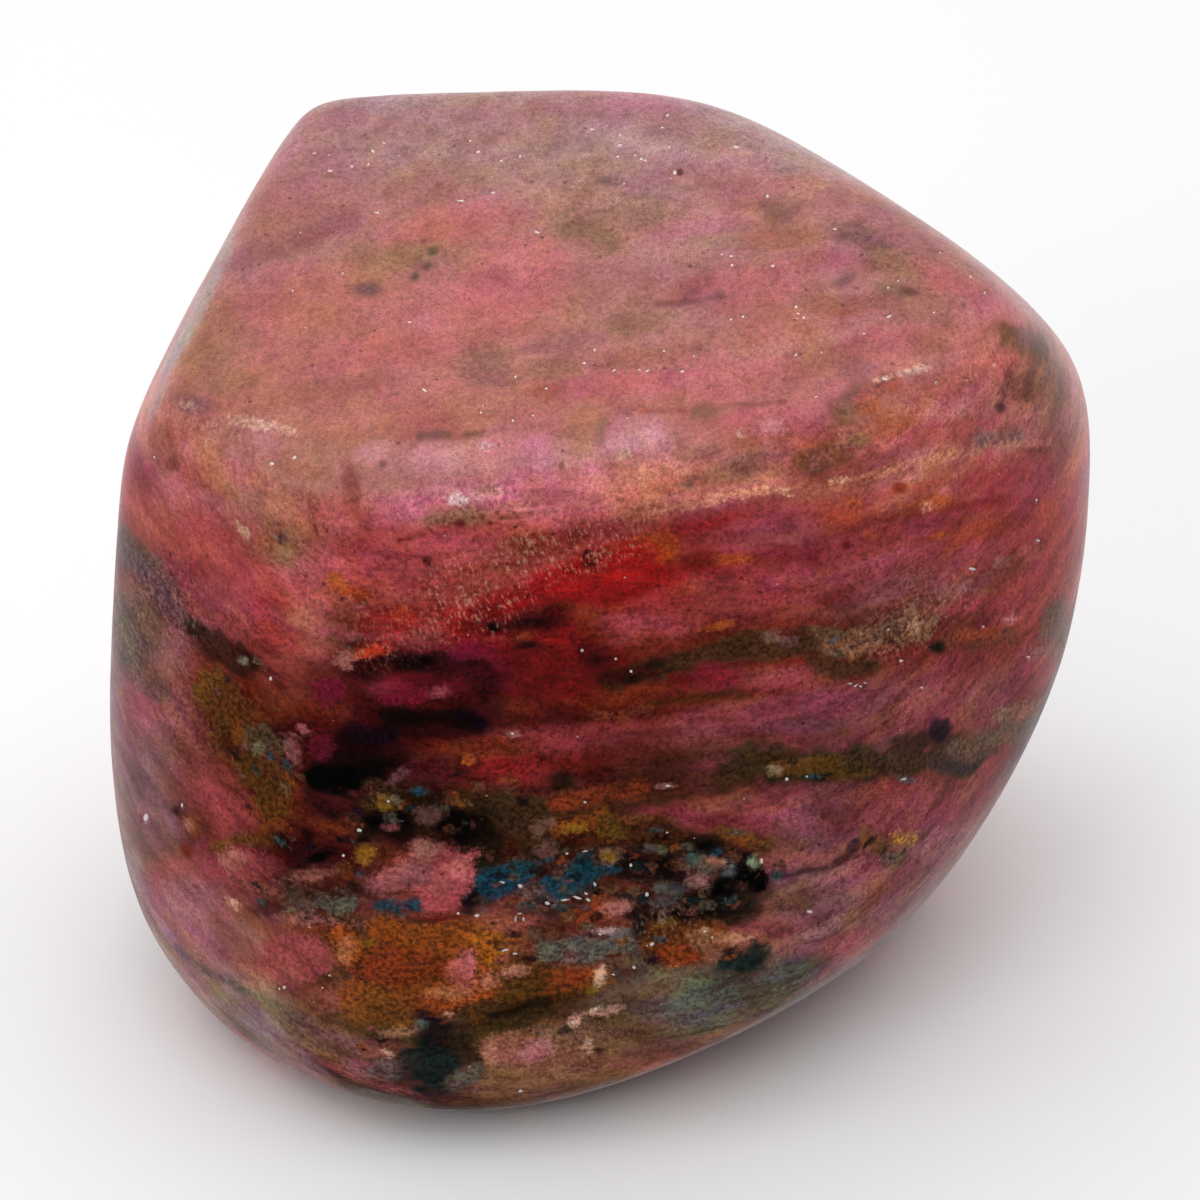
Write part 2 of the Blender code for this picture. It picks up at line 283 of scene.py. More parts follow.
    ("scarlet", 612, 566, 52, 22, 14, 0.9), ("blood", 606, 590, 44, 12, 8, 0.5), ("cherry", 560, 578, 26, 14, 8, 0.7), ("fire", 664, 544, 30, 17, 8, 0.9), ("rustorange", 712, 552, 44, 12, -6, 0.7),
    ("blood", 556, 662, 34, 26, 0, 0.85), ("rust", 585, 630, 36, 18, 0, 0.7), ("umber", 545, 618, 34, 12, 8, 0.7), ("oxblood", 500, 626, 40, 12, 8, 0.6), ("brickrose", 655, 625, 60, 16, 8, 0.6),
    ("rust", 500, 640, 24, 12, 0, 0.5), ("ember", 440, 612, 30, 14, 10, 0.4), ("magenta", 484, 664, 40, 24, 0, 0.7), ("heather", 392, 690, 24, 12, 0, 0.5),
    # --- front: right half
    ("wine", 770, 536, 110, 34, 8, 0.9), ("crimson", 705, 524, 50, 9, 10, 0.75), ("heather", 790, 534, 50, 16, 8, 0.7), ("wine", 720, 512, 60, 7, 10, 0.5),
    ("duskpink", 830, 506, 44, 10, 8, 0.6), ("maroon", 790, 552, 44, 11, 8, 0.7), ("heather", 745, 585, 60, 16, 8, 0.6), ("wine", 860, 590, 60, 12, 12, 0.5),
    ("rustorange", 840, 520, 24, 14, 0, 0.5), ("rustorange", 930, 500, 34, 12, 10, 0.6), ("wine", 905, 528, 90, 16, 12, 0.6), ("ember", 920, 486, 50, 5, 14, 0.4),
    ("maroon", 895, 516, 46, 6, 8, 0.4), ("rustorange", 945, 540, 44, 12, 12, 0.5), ("crimson", 1000, 476, 50, 16, 10, 0.6), ("heather", 1040, 480, 30, 22, 10, 0.6),
    ("crimson", 985, 502, 46, 8, 8, 0.5), ("maroon", 985, 500, 30, 5, 12, 0.5), ("rustorange", 990, 526, 34, 14, 0, 0.6), ("brickrose", 1035, 575, 40, 22, 0, 0.5),
    ("heather", 880, 566, 90, 16, 12, 0.6), ("duskpink", 1045, 560, 18, 50, 0, 0.4), ("greymauve", 880, 592, 70, 14, 14, 0.5), ("heather", 960, 560, 50, 12, 14, 0.4),
    ("wine", 800, 600, 60, 14, 8, 0.5), ("saddle", 1000, 572, 36, 12, 32, 0.7), ("rustorange", 1050, 510, 18, 26, 0, 0.4), ("clay", 1034, 550, 16, 11, 20, 0.5),
    ("greymauve", 945, 592, 46, 12, 24, 0.6), ("brown", 900, 606, 60, 10, 12, 0.5), ("duskpink", 1020, 612, 30, 16, 10, 0.7), ("pearl", 955, 588, 20, 5, 28, 0.3),
    ("olivebrown", 985, 592, 18, 6, 10, 0.5), ("brown", 960, 622, 50, 9, 8, 0.6), ("greymauve", 1058, 640, 14, 40, 0, 0.4),
    # --- right end of the top
    ("olivebrown", 1022, 340, 40, 16, -20, 0.6), ("khaki", 1040, 382, 34, 40, 0, 0.85), ("brown", 1022, 388, 26, 18, 0, 0.6), ("khaki", 1000, 350, 30, 12, 0, 0.3),
    ("ashrose", 1000, 420, 46, 16, 8, 0.5), ("wine", 950, 398, 40, 10, 14, 0.3), ("clay", 985, 372, 34, 14, 20, 0.5), ("greymauve", 1046, 430, 22, 30, 0, 0.5),
    ("duskpink", 950, 432, 64, 13, 10, 0.7), ("brickrose", 990, 462, 70, 9, 8, 0.5), ("khaki", 1060, 430, 14, 50, 0, 0.5), ("rosewood", 1050, 450, 24, 20, 0, 0.4),
    # the pearl strip at the right end, at 1074, 395, is a painted reflection along the rim
    ("pearl", 1074, 395, 8, 60, 0, 0.5), ("clay", 890, 470, 40, 8, 16, 0.5), ("brown", 850, 430, 30, 26, 0, 0.35), ("rustorange", 890, 425, 26, 14, 10, 0.35), ("rosewood", 845, 470, 40, 12, 10, 0.5),
    # --- under the first dark band
    ("heather", 800, 700, 80, 22, 4, 0.6), ("duskpink", 789, 674, 44, 12, 6, 0.8), ("redbrown", 803, 660, 38, 6, 6, 0.7), ("crimson", 760, 690, 50, 8, 6, 0.4),
    ("heather", 900, 686, 70, 20, 8, 0.7), ("rosewood", 950, 664, 60, 14, 10, 0.5), ("heather", 1010, 672, 40, 18, 16, 0.8), ("duskpink", 1044, 672, 18, 20, 0, 0.5),
    ("raspberry", 711, 680, 34, 11, 8, 0.5), ("maroon", 660, 686, 50, 14, 6, 0.7), ("rust", 600, 696, 90, 11, 4, 0.7), ("chestnut", 640, 700, 80, 6, 5, 0.5), ("rust", 700, 700, 60, 6, 4, 0.5),
    ("chestnut", 513, 706, 36, 16, 0, 0.8), ("rust", 575, 690, 50, 12, 4, 0.6), ("wine", 580, 736, 90, 15, 4, 0.75), ("rosewood", 500, 740, 40, 14, 4, 0.4),
    ("duskpink", 735, 716, 70, 13, 6, 0.75), ("rosewood", 640, 742, 70, 14, 6, 0.6), ("brown", 640, 762, 46, 12, 6, 0.5), ("rosewood", 690, 734, 50, 8, 4, 0.5),
    ("heather", 860, 712, 70, 16, 8, 0.8), ("rust", 480, 748, 50, 14, 6, 0.75), ("crimson", 512, 771, 36, 16, 0, 0.85), ("chestnut", 420, 748, 50, 12, 0, 0.5),
    ("redbrown", 570, 762, 60, 12, 6, 0.6), ("greymauve", 795, 726, 54, 7, 2, 0.4), ("rosewood", 985, 700, 50, 13, 14, 0.5), ("darkwine", 430, 762, 30, 12, 0, 0.6), ("darkwine", 560, 775, 40, 12, 0, 0.4),
    # --- left flank
    ("duskpink", 150, 700, 32, 40, -60, 0.7), ("heather", 127, 735, 14, 60, 0, 0.5), ("rosewood", 190, 768, 40, 34, -60, 0.6), ("duskpink", 160, 725, 24, 24, 0, 0.4),
    ("rust", 184, 738, 10, 24, -10, 0.4), ("rust", 206, 682, 14, 18, -30, 0.7), ("duskpink", 215, 800, 44, 28, -30, 0.75), ("rosewood", 180, 790, 30, 26, -40, 0.5),
    ("greymauve", 131, 785, 18, 26, 0, 0.6), ("ashrose", 150, 840, 20, 40, -60, 0.4), ("mauve", 171, 646, 18, 24, -45, 0.5), ("brown", 196, 650, 14, 14, -40, 0.4),
    ("clay", 165, 862, 14, 34, -62, 0.45), ("rose", 190, 900, 44, 24, -55, 0.7), ("ashrose", 180, 930, 22, 26, -50, 0.5), ("duskpink", 225, 925, 34, 14, -40, 0.5),
    ("rust", 272, 712, 26, 14, 0, 0.5), ("brown", 290, 757, 24, 16, 0, 0.6), ("rust", 278, 800, 26, 30, 0, 0.8), ("chestnut", 318, 720, 30, 18, 0, 0.6),
    ("walnut", 255, 790, 26, 13, 0, 0.5), ("rust", 325, 832, 28, 18, 0, 0.75), ("maroon", 332, 808, 26, 10, 0, 0.6), ("oxblood", 320, 760, 30, 16, 0, 0.6), ("amber", 250, 728, 20, 10, 40, 0.5),
    # the pearl strips along the lower left rim and the fog at 390, 1098 on the bottom rim are a painted reflection
    ("pearl", 128, 870, 11, 46, -72, 0.5), ("pearl", 160, 935, 13, 46, -62, 0.6), ("pearl", 212, 1000, 16, 50, -52, 0.7), ("olivebrown", 160, 858, 16, 24, -60, 0.4),
    ("pearl", 290, 1060, 50, 13, -32, 0.7), ("fog", 390, 1098, 40, 6, -12, 0.4), ("duskpink", 236, 954, 40, 16, -30, 0.5), ("olivetan", 210, 985, 20, 20, -40, 0.4),
    ("dusty", 262, 1015, 40, 14, -34, 0.6), ("rosewood", 300, 990, 30, 10, 0, 0.5),
    # --- lower front; the pearl washes along the lower left rim are a painted reflection
    ("greygreen", 680, 1000, 110, 36, 14, 0.75), ("khaki", 720, 1020, 90, 24, 20, 0.5), ("mauve", 818, 942, 66, 28, 24, 0.65), ("duskpink", 955, 702, 60, 22, 14, 0.5),
    ("mauve", 188, 902, 40, 44, -50, 0.65), ("pearl", 268, 1022, 60, 24, -30, 0.65), ("duskpink", 230, 622, 30, 22, -30, 0.5), ("oxblood", 312, 858, 54, 16, 0, 0.6),
    ("darkolive", 470, 822, 130, 22, 0, 0.5), ("greenblack", 700, 898, 60, 30, 0, 0.6), ("moss", 136, 626, 30, 54, -15, 0.7), ("slate", 128, 552, 44, 20, -42, 0.6), ("umber", 192, 822, 24, 18, 0, 0.4),
    ("duskpink", 760, 806, 130, 30, 2, 0.5), ("ashrose", 850, 880, 110, 56, 28, 0.55), ("khaki", 640, 1036, 90, 26, 12, 0.5), ("clay", 560, 1062, 90, 30, 8, 0.5), ("slate", 770, 985, 60, 24, 16, 0.4),
    ("pearl", 200, 985, 30, 70, 50, 0.6), ("pearl", 140, 890, 16, 60, 22, 0.5), ("khaki", 260, 1010, 50, 30, -30, 0.5), ("duskpink", 175, 890, 34, 40, -40, 0.5), ("rose", 190, 915, 24, 22, -50, 0.4),
    ("duskpink", 790, 812, 70, 26, 0, 0.85), ("rosewood", 840, 815, 24, 14, 0, 0.6), ("clay", 716, 803, 38, 9, 4, 0.8), ("rosewood", 700, 822, 50, 8, 0, 0.5),
    ("duskpink", 664, 808, 28, 9, 0, 0.7), ("heather", 916, 812, 50, 22, 14, 0.8), ("duskpink", 803, 864, 44, 9, 4, 0.75), ("rosewood", 760, 834, 50, 8, 0, 0.4),
    ("ashrose", 870, 905, 74, 40, 24, 0.7), ("rosewood", 895, 885, 50, 12, 30, 0.6), ("duskpink", 850, 880, 50, 14, 20, 0.5), ("brown", 785, 900, 36, 20, 0, 0.6),
    ("duskpink", 840, 948, 50, 13, 24, 0.7), ("ashrose", 950, 850, 20, 40, -30, 0.5), ("heather", 985, 780, 16, 34, -24, 0.5), ("rosewood", 800, 925, 40, 10, 20, 0.4),
    ("moss", 762, 985, 70, 26, 14, 0.9), ("greygreen", 730, 1014, 60, 14, 18, 0.5), ("moss", 690, 1008, 50, 28, 12, 0.8), ("midteal", 800, 968, 50, 10, 10, 0.3),
    ("sepia", 640, 1040, 60, 22, 14, 0.8), ("clay", 560, 1070, 70, 18, 8, 0.6), ("ashrose", 565, 1094, 60, 9, 8, 0.6), ("olivebrown", 600, 1050, 40, 16, 10, 0.5),
    ("rust", 530, 1078, 40, 8, 4, 0.4), ("khaki", 565, 1036, 34, 12, 10, 0.5), ("olive", 606, 1020, 26, 9, 14, 0.7), ("darkolive", 640, 1012, 30, 8, 14, 0.4),
    ("clay", 331, 1002, 30, 14, 0, 0.7), ("khaki", 331, 1040, 34, 18, -25, 0.6), ("ashrose", 361, 1070, 24, 12, -20, 0.7), ("sepia", 300, 1030, 26, 18, -30, 0.5),
    ("olive", 365, 1022, 34, 14, 0, 0.7), ("clay", 503, 912, 40, 18, 0, 0.75), ("brown", 540, 940, 50, 14, 0, 0.5), ("rust", 300, 925, 40, 10, 0, 0.4), ("duskpink", 232, 868, 40, 14, 0, 0.5),
    ("clay", 610, 905, 26, 13, 0, 0.6), ("olive", 605, 888, 20, 10, 0, 0.5), ("clay", 742, 941, 32, 6, 2, 0.8), ("duskpink", 420, 905, 60, 12, 0, 0.5),
    ("saddle", 640, 995, 40, 11, 14, 0.6), ("rosewood", 233, 905, 30, 12, -40, 0.3), ("heather", 262, 880, 30, 9, 0, 0.4), ("brown", 385, 850, 30, 12, 0, 0.4),
]

# Minerals with an edge of their own: colour, half width, path, opacity.
BANDS = [
    # grey green band down the left flank, and the one below it
    ("slate", 13, [(112, 528), (136, 556), (158, 582)], 0.65), ("greymauve", 14, [(158, 582), (178, 606), (192, 628)], 0.75),
    ("greenblack", 12, [(193, 628), (212, 646), (232, 656), (247, 666)], 0.9), ("greenblack", 15, [(216, 650), (236, 658)], 0.8),
    ("moss", 14, [(116, 600), (122, 630), (132, 662), (146, 682), (160, 692)], 0.55), ("greygreen", 12, [(120, 620), (130, 650)], 0.4),
    # olive mass left of the black heart
    ("olive", 20, [(214, 690), (232, 706), (236, 738)], 0.9), ("olive", 18, [(238, 745), (262, 775), (275, 805)], 0.75),
    ("umber", 9, [(226, 742), (232, 752)], 0.8), ("moss", 13, [(248, 742), (264, 744), (278, 748)], 0.85),
    # the black heart
    ("plum", 10, [(356, 672), (388, 664), (424, 664), (446, 660)], 0.9), ("plum", 10, [(440, 672), (466, 670)], 0.85),
    ("plum", 14, [(474, 672), (492, 684), (490, 700)], 0.8), ("black", 7, [(404, 668), (430, 663)], 0.9),
    ("black", 8, [(386, 716), (430, 718), (462, 716)], 0.85), ("navy", 9, [(462, 714), (478, 722)], 0.9), ("navy", 12, [(350, 736), (368, 742), (390, 734)], 0.75),
    ("purpleblack", 12, [(330, 760), (352, 752), (376, 758), (398, 754)], 0.8), ("black", 16, [(318, 780), (344, 780), (370, 784)], 1.0),
    ("black", 12, [(372, 776), (386, 790)], 0.9), ("plum", 10, [(306, 800), (330, 806), (350, 810)], 0.7),
    ("darkolive", 20, [(380, 806), (404, 812), (440, 812), (480, 816), (520, 822)], 0.95), ("greenblack", 15, [(372, 826), (396, 828)], 0.9),
    ("greenblack", 16, [(446, 826), (470, 834), (486, 848)], 0.95), ("darkolive", 16, [(520, 816), (556, 812), (566, 796)], 0.85),
    ("greenblack", 12, [(560, 782), (568, 800)], 0.9), ("darkolive", 13, [(530, 842), (552, 850)], 0.8),
    ("umber", 9, [(268, 836), (290, 844), (308, 848)], 0.8), ("olive", 5, [(216, 846), (240, 838), (272, 842)], 0.8),
    # first dark band across the right half
    ("darkolive", 11, [(608, 682), (636, 674), (662, 668), (684, 664)], 0.85), ("greenblack", 8, [(616, 680), (650, 672)], 0.7), ("darkolive", 11, [(684, 660), (706, 652), (722, 646)], 0.9),
    ("darkolive", 14, [(724, 648), (750, 644), (780, 644), (830, 644), (862, 636)], 0.85), ("khaki", 16, [(838, 644), (866, 640), (900, 626), (922, 622)], 0.7),
    ("darkolive", 12, [(820, 662), (846, 668), (868, 664)], 0.8), ("slate", 6, [(770, 636), (790, 638)], 0.6), ("moss", 6, [(816, 632), (838, 632)], 0.7),
    ("brown", 10, [(950, 640), (985, 640), (1010, 636)], 0.75), ("moss", 15, [(1056, 612), (1054, 634)], 0.7), ("khaki", 8, [(1035, 654), (1054, 652)], 0.6),
    # second dark band
    ("darkolive", 12, [(566, 808), (612, 800), (660, 790), (712, 780), (742, 770)], 0.7), ("amber", 5, [(606, 792), (640, 786), (676, 780)], 0.5),
    ("darkolive", 13, [(724, 762), (752, 758), (772, 754)], 0.9), ("darkolive", 17, [(772, 764), (800, 764), (842, 764), (884, 762), (930, 760), (966, 758)], 0.9),
    ("greenblack", 9, [(900, 746), (930, 740), (960, 740)], 0.8), ("deepteal", 10, [(940, 764), (962, 760), (990, 748)], 0.8),
    ("moss", 12, [(960, 750), (1000, 738), (1034, 720)], 0.8), ("khaki", 7, [(1000, 716), (1034, 708)], 0.6),
    ("umber", 8, [(660, 764), (690, 758), (722, 754)], 0.6), ("umber", 10, [(640, 776), (668, 782), (700, 778)], 0.5),
    # brown veins above it, amber and brown ground below
    ("umber", 4, [(646, 704), (690, 698), (730, 692), (752, 694)], 0.75), ("brown", 5, [(600, 716), (650, 708)], 0.6),
    ("rust", 9, [(556, 802), (600, 794), (640, 790)], 0.7), ("amber", 10, [(556, 828), (580, 824), (600, 818)], 0.75),
    ("olive", 11, [(604, 826), (640, 826), (664, 830)], 0.8), ("umber", 13, [(640, 836), (668, 836), (690, 842)], 0.9),
    ("olive", 9, [(712, 838), (744, 842), (766, 850)], 0.85),
    # black cluster
    ("greenblack", 16, [(700, 846), (722, 858), (746, 866)], 0.9), ("black", 19, [(716, 884), (736, 896), (752, 888)], 1.0),
    ("greenblack", 18, [(690, 910), (716, 916), (742, 910)], 0.9), ("black", 13, [(628, 866), (648, 872), (662, 866)], 0.9),
    ("black", 10, [(594, 868), (614, 872)], 0.9), ("greenblack", 13, [(640, 912), (664, 916), (690, 914)], 0.85),
    ("black", 9, [(640, 892), (652, 904)], 0.8), ("umber", 10, [(600, 880), (622, 892)], 0.7),
    # teal lenses
    ("teal", 15, [(484, 888), (502, 878), (522, 872)], 0.95), ("navy", 8, [(470, 904), (476, 894)], 0.9),
    ("teal", 14, [(548, 890), (570, 878), (590, 866)], 0.95), ("slate", 8, [(526, 892), (540, 898), (550, 904)], 0.8),
    ("navy", 5, [(530, 908), (552, 912), (572, 908)], 0.7), ("greyteal", 11, [(318, 900), (336, 902), (352, 904)], 0.85),
    ("slate", 10, [(284, 884), (296, 896), (306, 900)], 0.7), ("navy", 5, [(352, 888), (366, 892), (376, 898)], 0.7),
    ("teal", 7, [(382, 906), (402, 908), (416, 906)], 0.95), ("plum", 10, [(258, 908), (272, 910)], 0.7),
    ("greymauve", 5, [(276, 918), (320, 920), (360, 926), (400, 930)], 0.75), ("greymauve", 5, [(232, 880), (262, 888), (282, 892)], 0.5),
    # amber bed
    ("amber", 24, [(392, 940), (430, 944), (466, 938), (486, 944)], 0.95), ("rust", 22, [(380, 966), (404, 974), (430, 972)], 0.85),
    ("amber", 20, [(360, 1000), (400, 1004), (440, 1000)], 0.8), ("amber", 16, [(490, 980), (520, 990), (556, 978), (580, 970)], 0.9),
    ("olive", 15, [(500, 986), (530, 980)], 0.7), ("orange", 12, [(340, 936), (350, 952)], 0.8), ("orange", 13, [(440, 996), (462, 994), (484, 984)], 0.7),
    ("rust", 9, [(568, 918), (588, 914), (600, 908)], 0.85), ("umber", 8, [(540, 934), (560, 930)], 0.7),
    ("greyteal", 11, [(546, 952), (580, 948), (610, 946), (628, 944)], 0.85), ("amber", 13, [(650, 940), (680, 940), (712, 934)], 0.85),
    ("orange", 10, [(664, 958), (688, 956)], 0.8), ("deepteal", 11, [(722, 960), (744, 962), (756, 956)], 0.95),
    ("moss", 8, [(612, 962), (640, 964), (660, 974)], 0.7), ("deepteal", 6, [(616, 974), (640, 972)], 0.6),
    # dark teal mass and dark stripes at the bottom
    ("deepteal", 30, [(436, 1046), (438, 1066)], 0.97), ("deepteal", 14, [(410, 1056), (400, 1066)], 0.9), ("navy", 14, [(430, 1020), (446, 1032)], 0.9),
    ("greenblack", 14, [(462, 1036), (476, 1048), (474, 1062)], 0.9), ("slate", 10, [(456, 1082), (474, 1076)], 0.8),
    ("darkolive", 10, [(480, 1024), (510, 1014), (546, 1004)], 0.9), ("black", 3, [(478, 1021), (512, 1010), (548, 1001)], 0.8),
    ("darkolive", 9, [(478, 1036), (506, 1026), (530, 1020)], 0.85), ("slate", 9, [(380, 1066), (392, 1070)], 0.7),
    # curved grey line low on the left
    ("slate", 4, [(176, 948), (196, 964), (216, 976), (240, 988), (262, 998)], 0.7), ("moss", 4, [(262, 998), (290, 1012), (300, 1020)], 0.5),
    # dark streaks and lines on the top and the ridge
    ("moss", 5, [(424, 436), (440, 434), (452, 434)], 0.7), ("olivebrown", 3.5, [(454, 436), (470, 434), (482, 434)], 0.6),
    ("mauve", 3, [(484, 432), (520, 426), (560, 422)], 0.35), ("brickrose", 2.5, [(640, 412), (690, 408)], 0.5), ("brown", 2, [(720, 405), (740, 404), (786, 402)], 0.4),
    ("brown", 2.5, [(655, 304), (690, 302), (723, 297)], 0.45), ("maroon", 2.5, [(398, 540), (410, 538), (424, 534)], 0.6),
    ("moss", 8, [(700, 408), (706, 412)], 0.5), ("khaki", 9, [(434, 520), (456, 517), (476, 514)], 0.75),
    ("brown", 3, [(500, 518), (516, 515), (532, 512)], 0.75), ("mauve", 3, [(540, 512), (580, 508), (606, 506)], 0.5),
    ("olive", 13, [(808, 456), (824, 456), (838, 448)], 0.75), ("moss", 11, [(818, 464), (824, 458)], 0.6), ("khaki", 8, [(846, 444), (858, 440)], 0.6),
    ("sepia", 13, [(846, 410), (858, 402), (870, 394)], 0.55), ("rustorange", 13, [(868, 404), (880, 396), (888, 388)], 0.6),
    ("slate", 10, [(984, 440), (1000, 440), (1014, 436)], 0.75), ("moss", 7, [(994, 440), (1004, 440)], 0.6),
    ("brown", 4, [(1020, 450), (1034, 451), (1044, 450)], 0.6), ("olive", 10, [(1006, 334), (1018, 340), (1034, 346), (1044, 350)], 0.7),
    # plum line curving up to the right
    ("plum", 3.5, [(774, 876), (800, 874), (828, 868), (846, 856), (856, 848)], 0.8), ("olive", 9, [(868, 838), (880, 846), (888, 854)], 0.75),
    ("moss", 9, [(886, 858), (900, 860)], 0.8), ("ochre", 7, [(898, 838), (910, 838)], 0.7), ("brown", 3, [(882, 832), (890, 844)], 0.7),
]

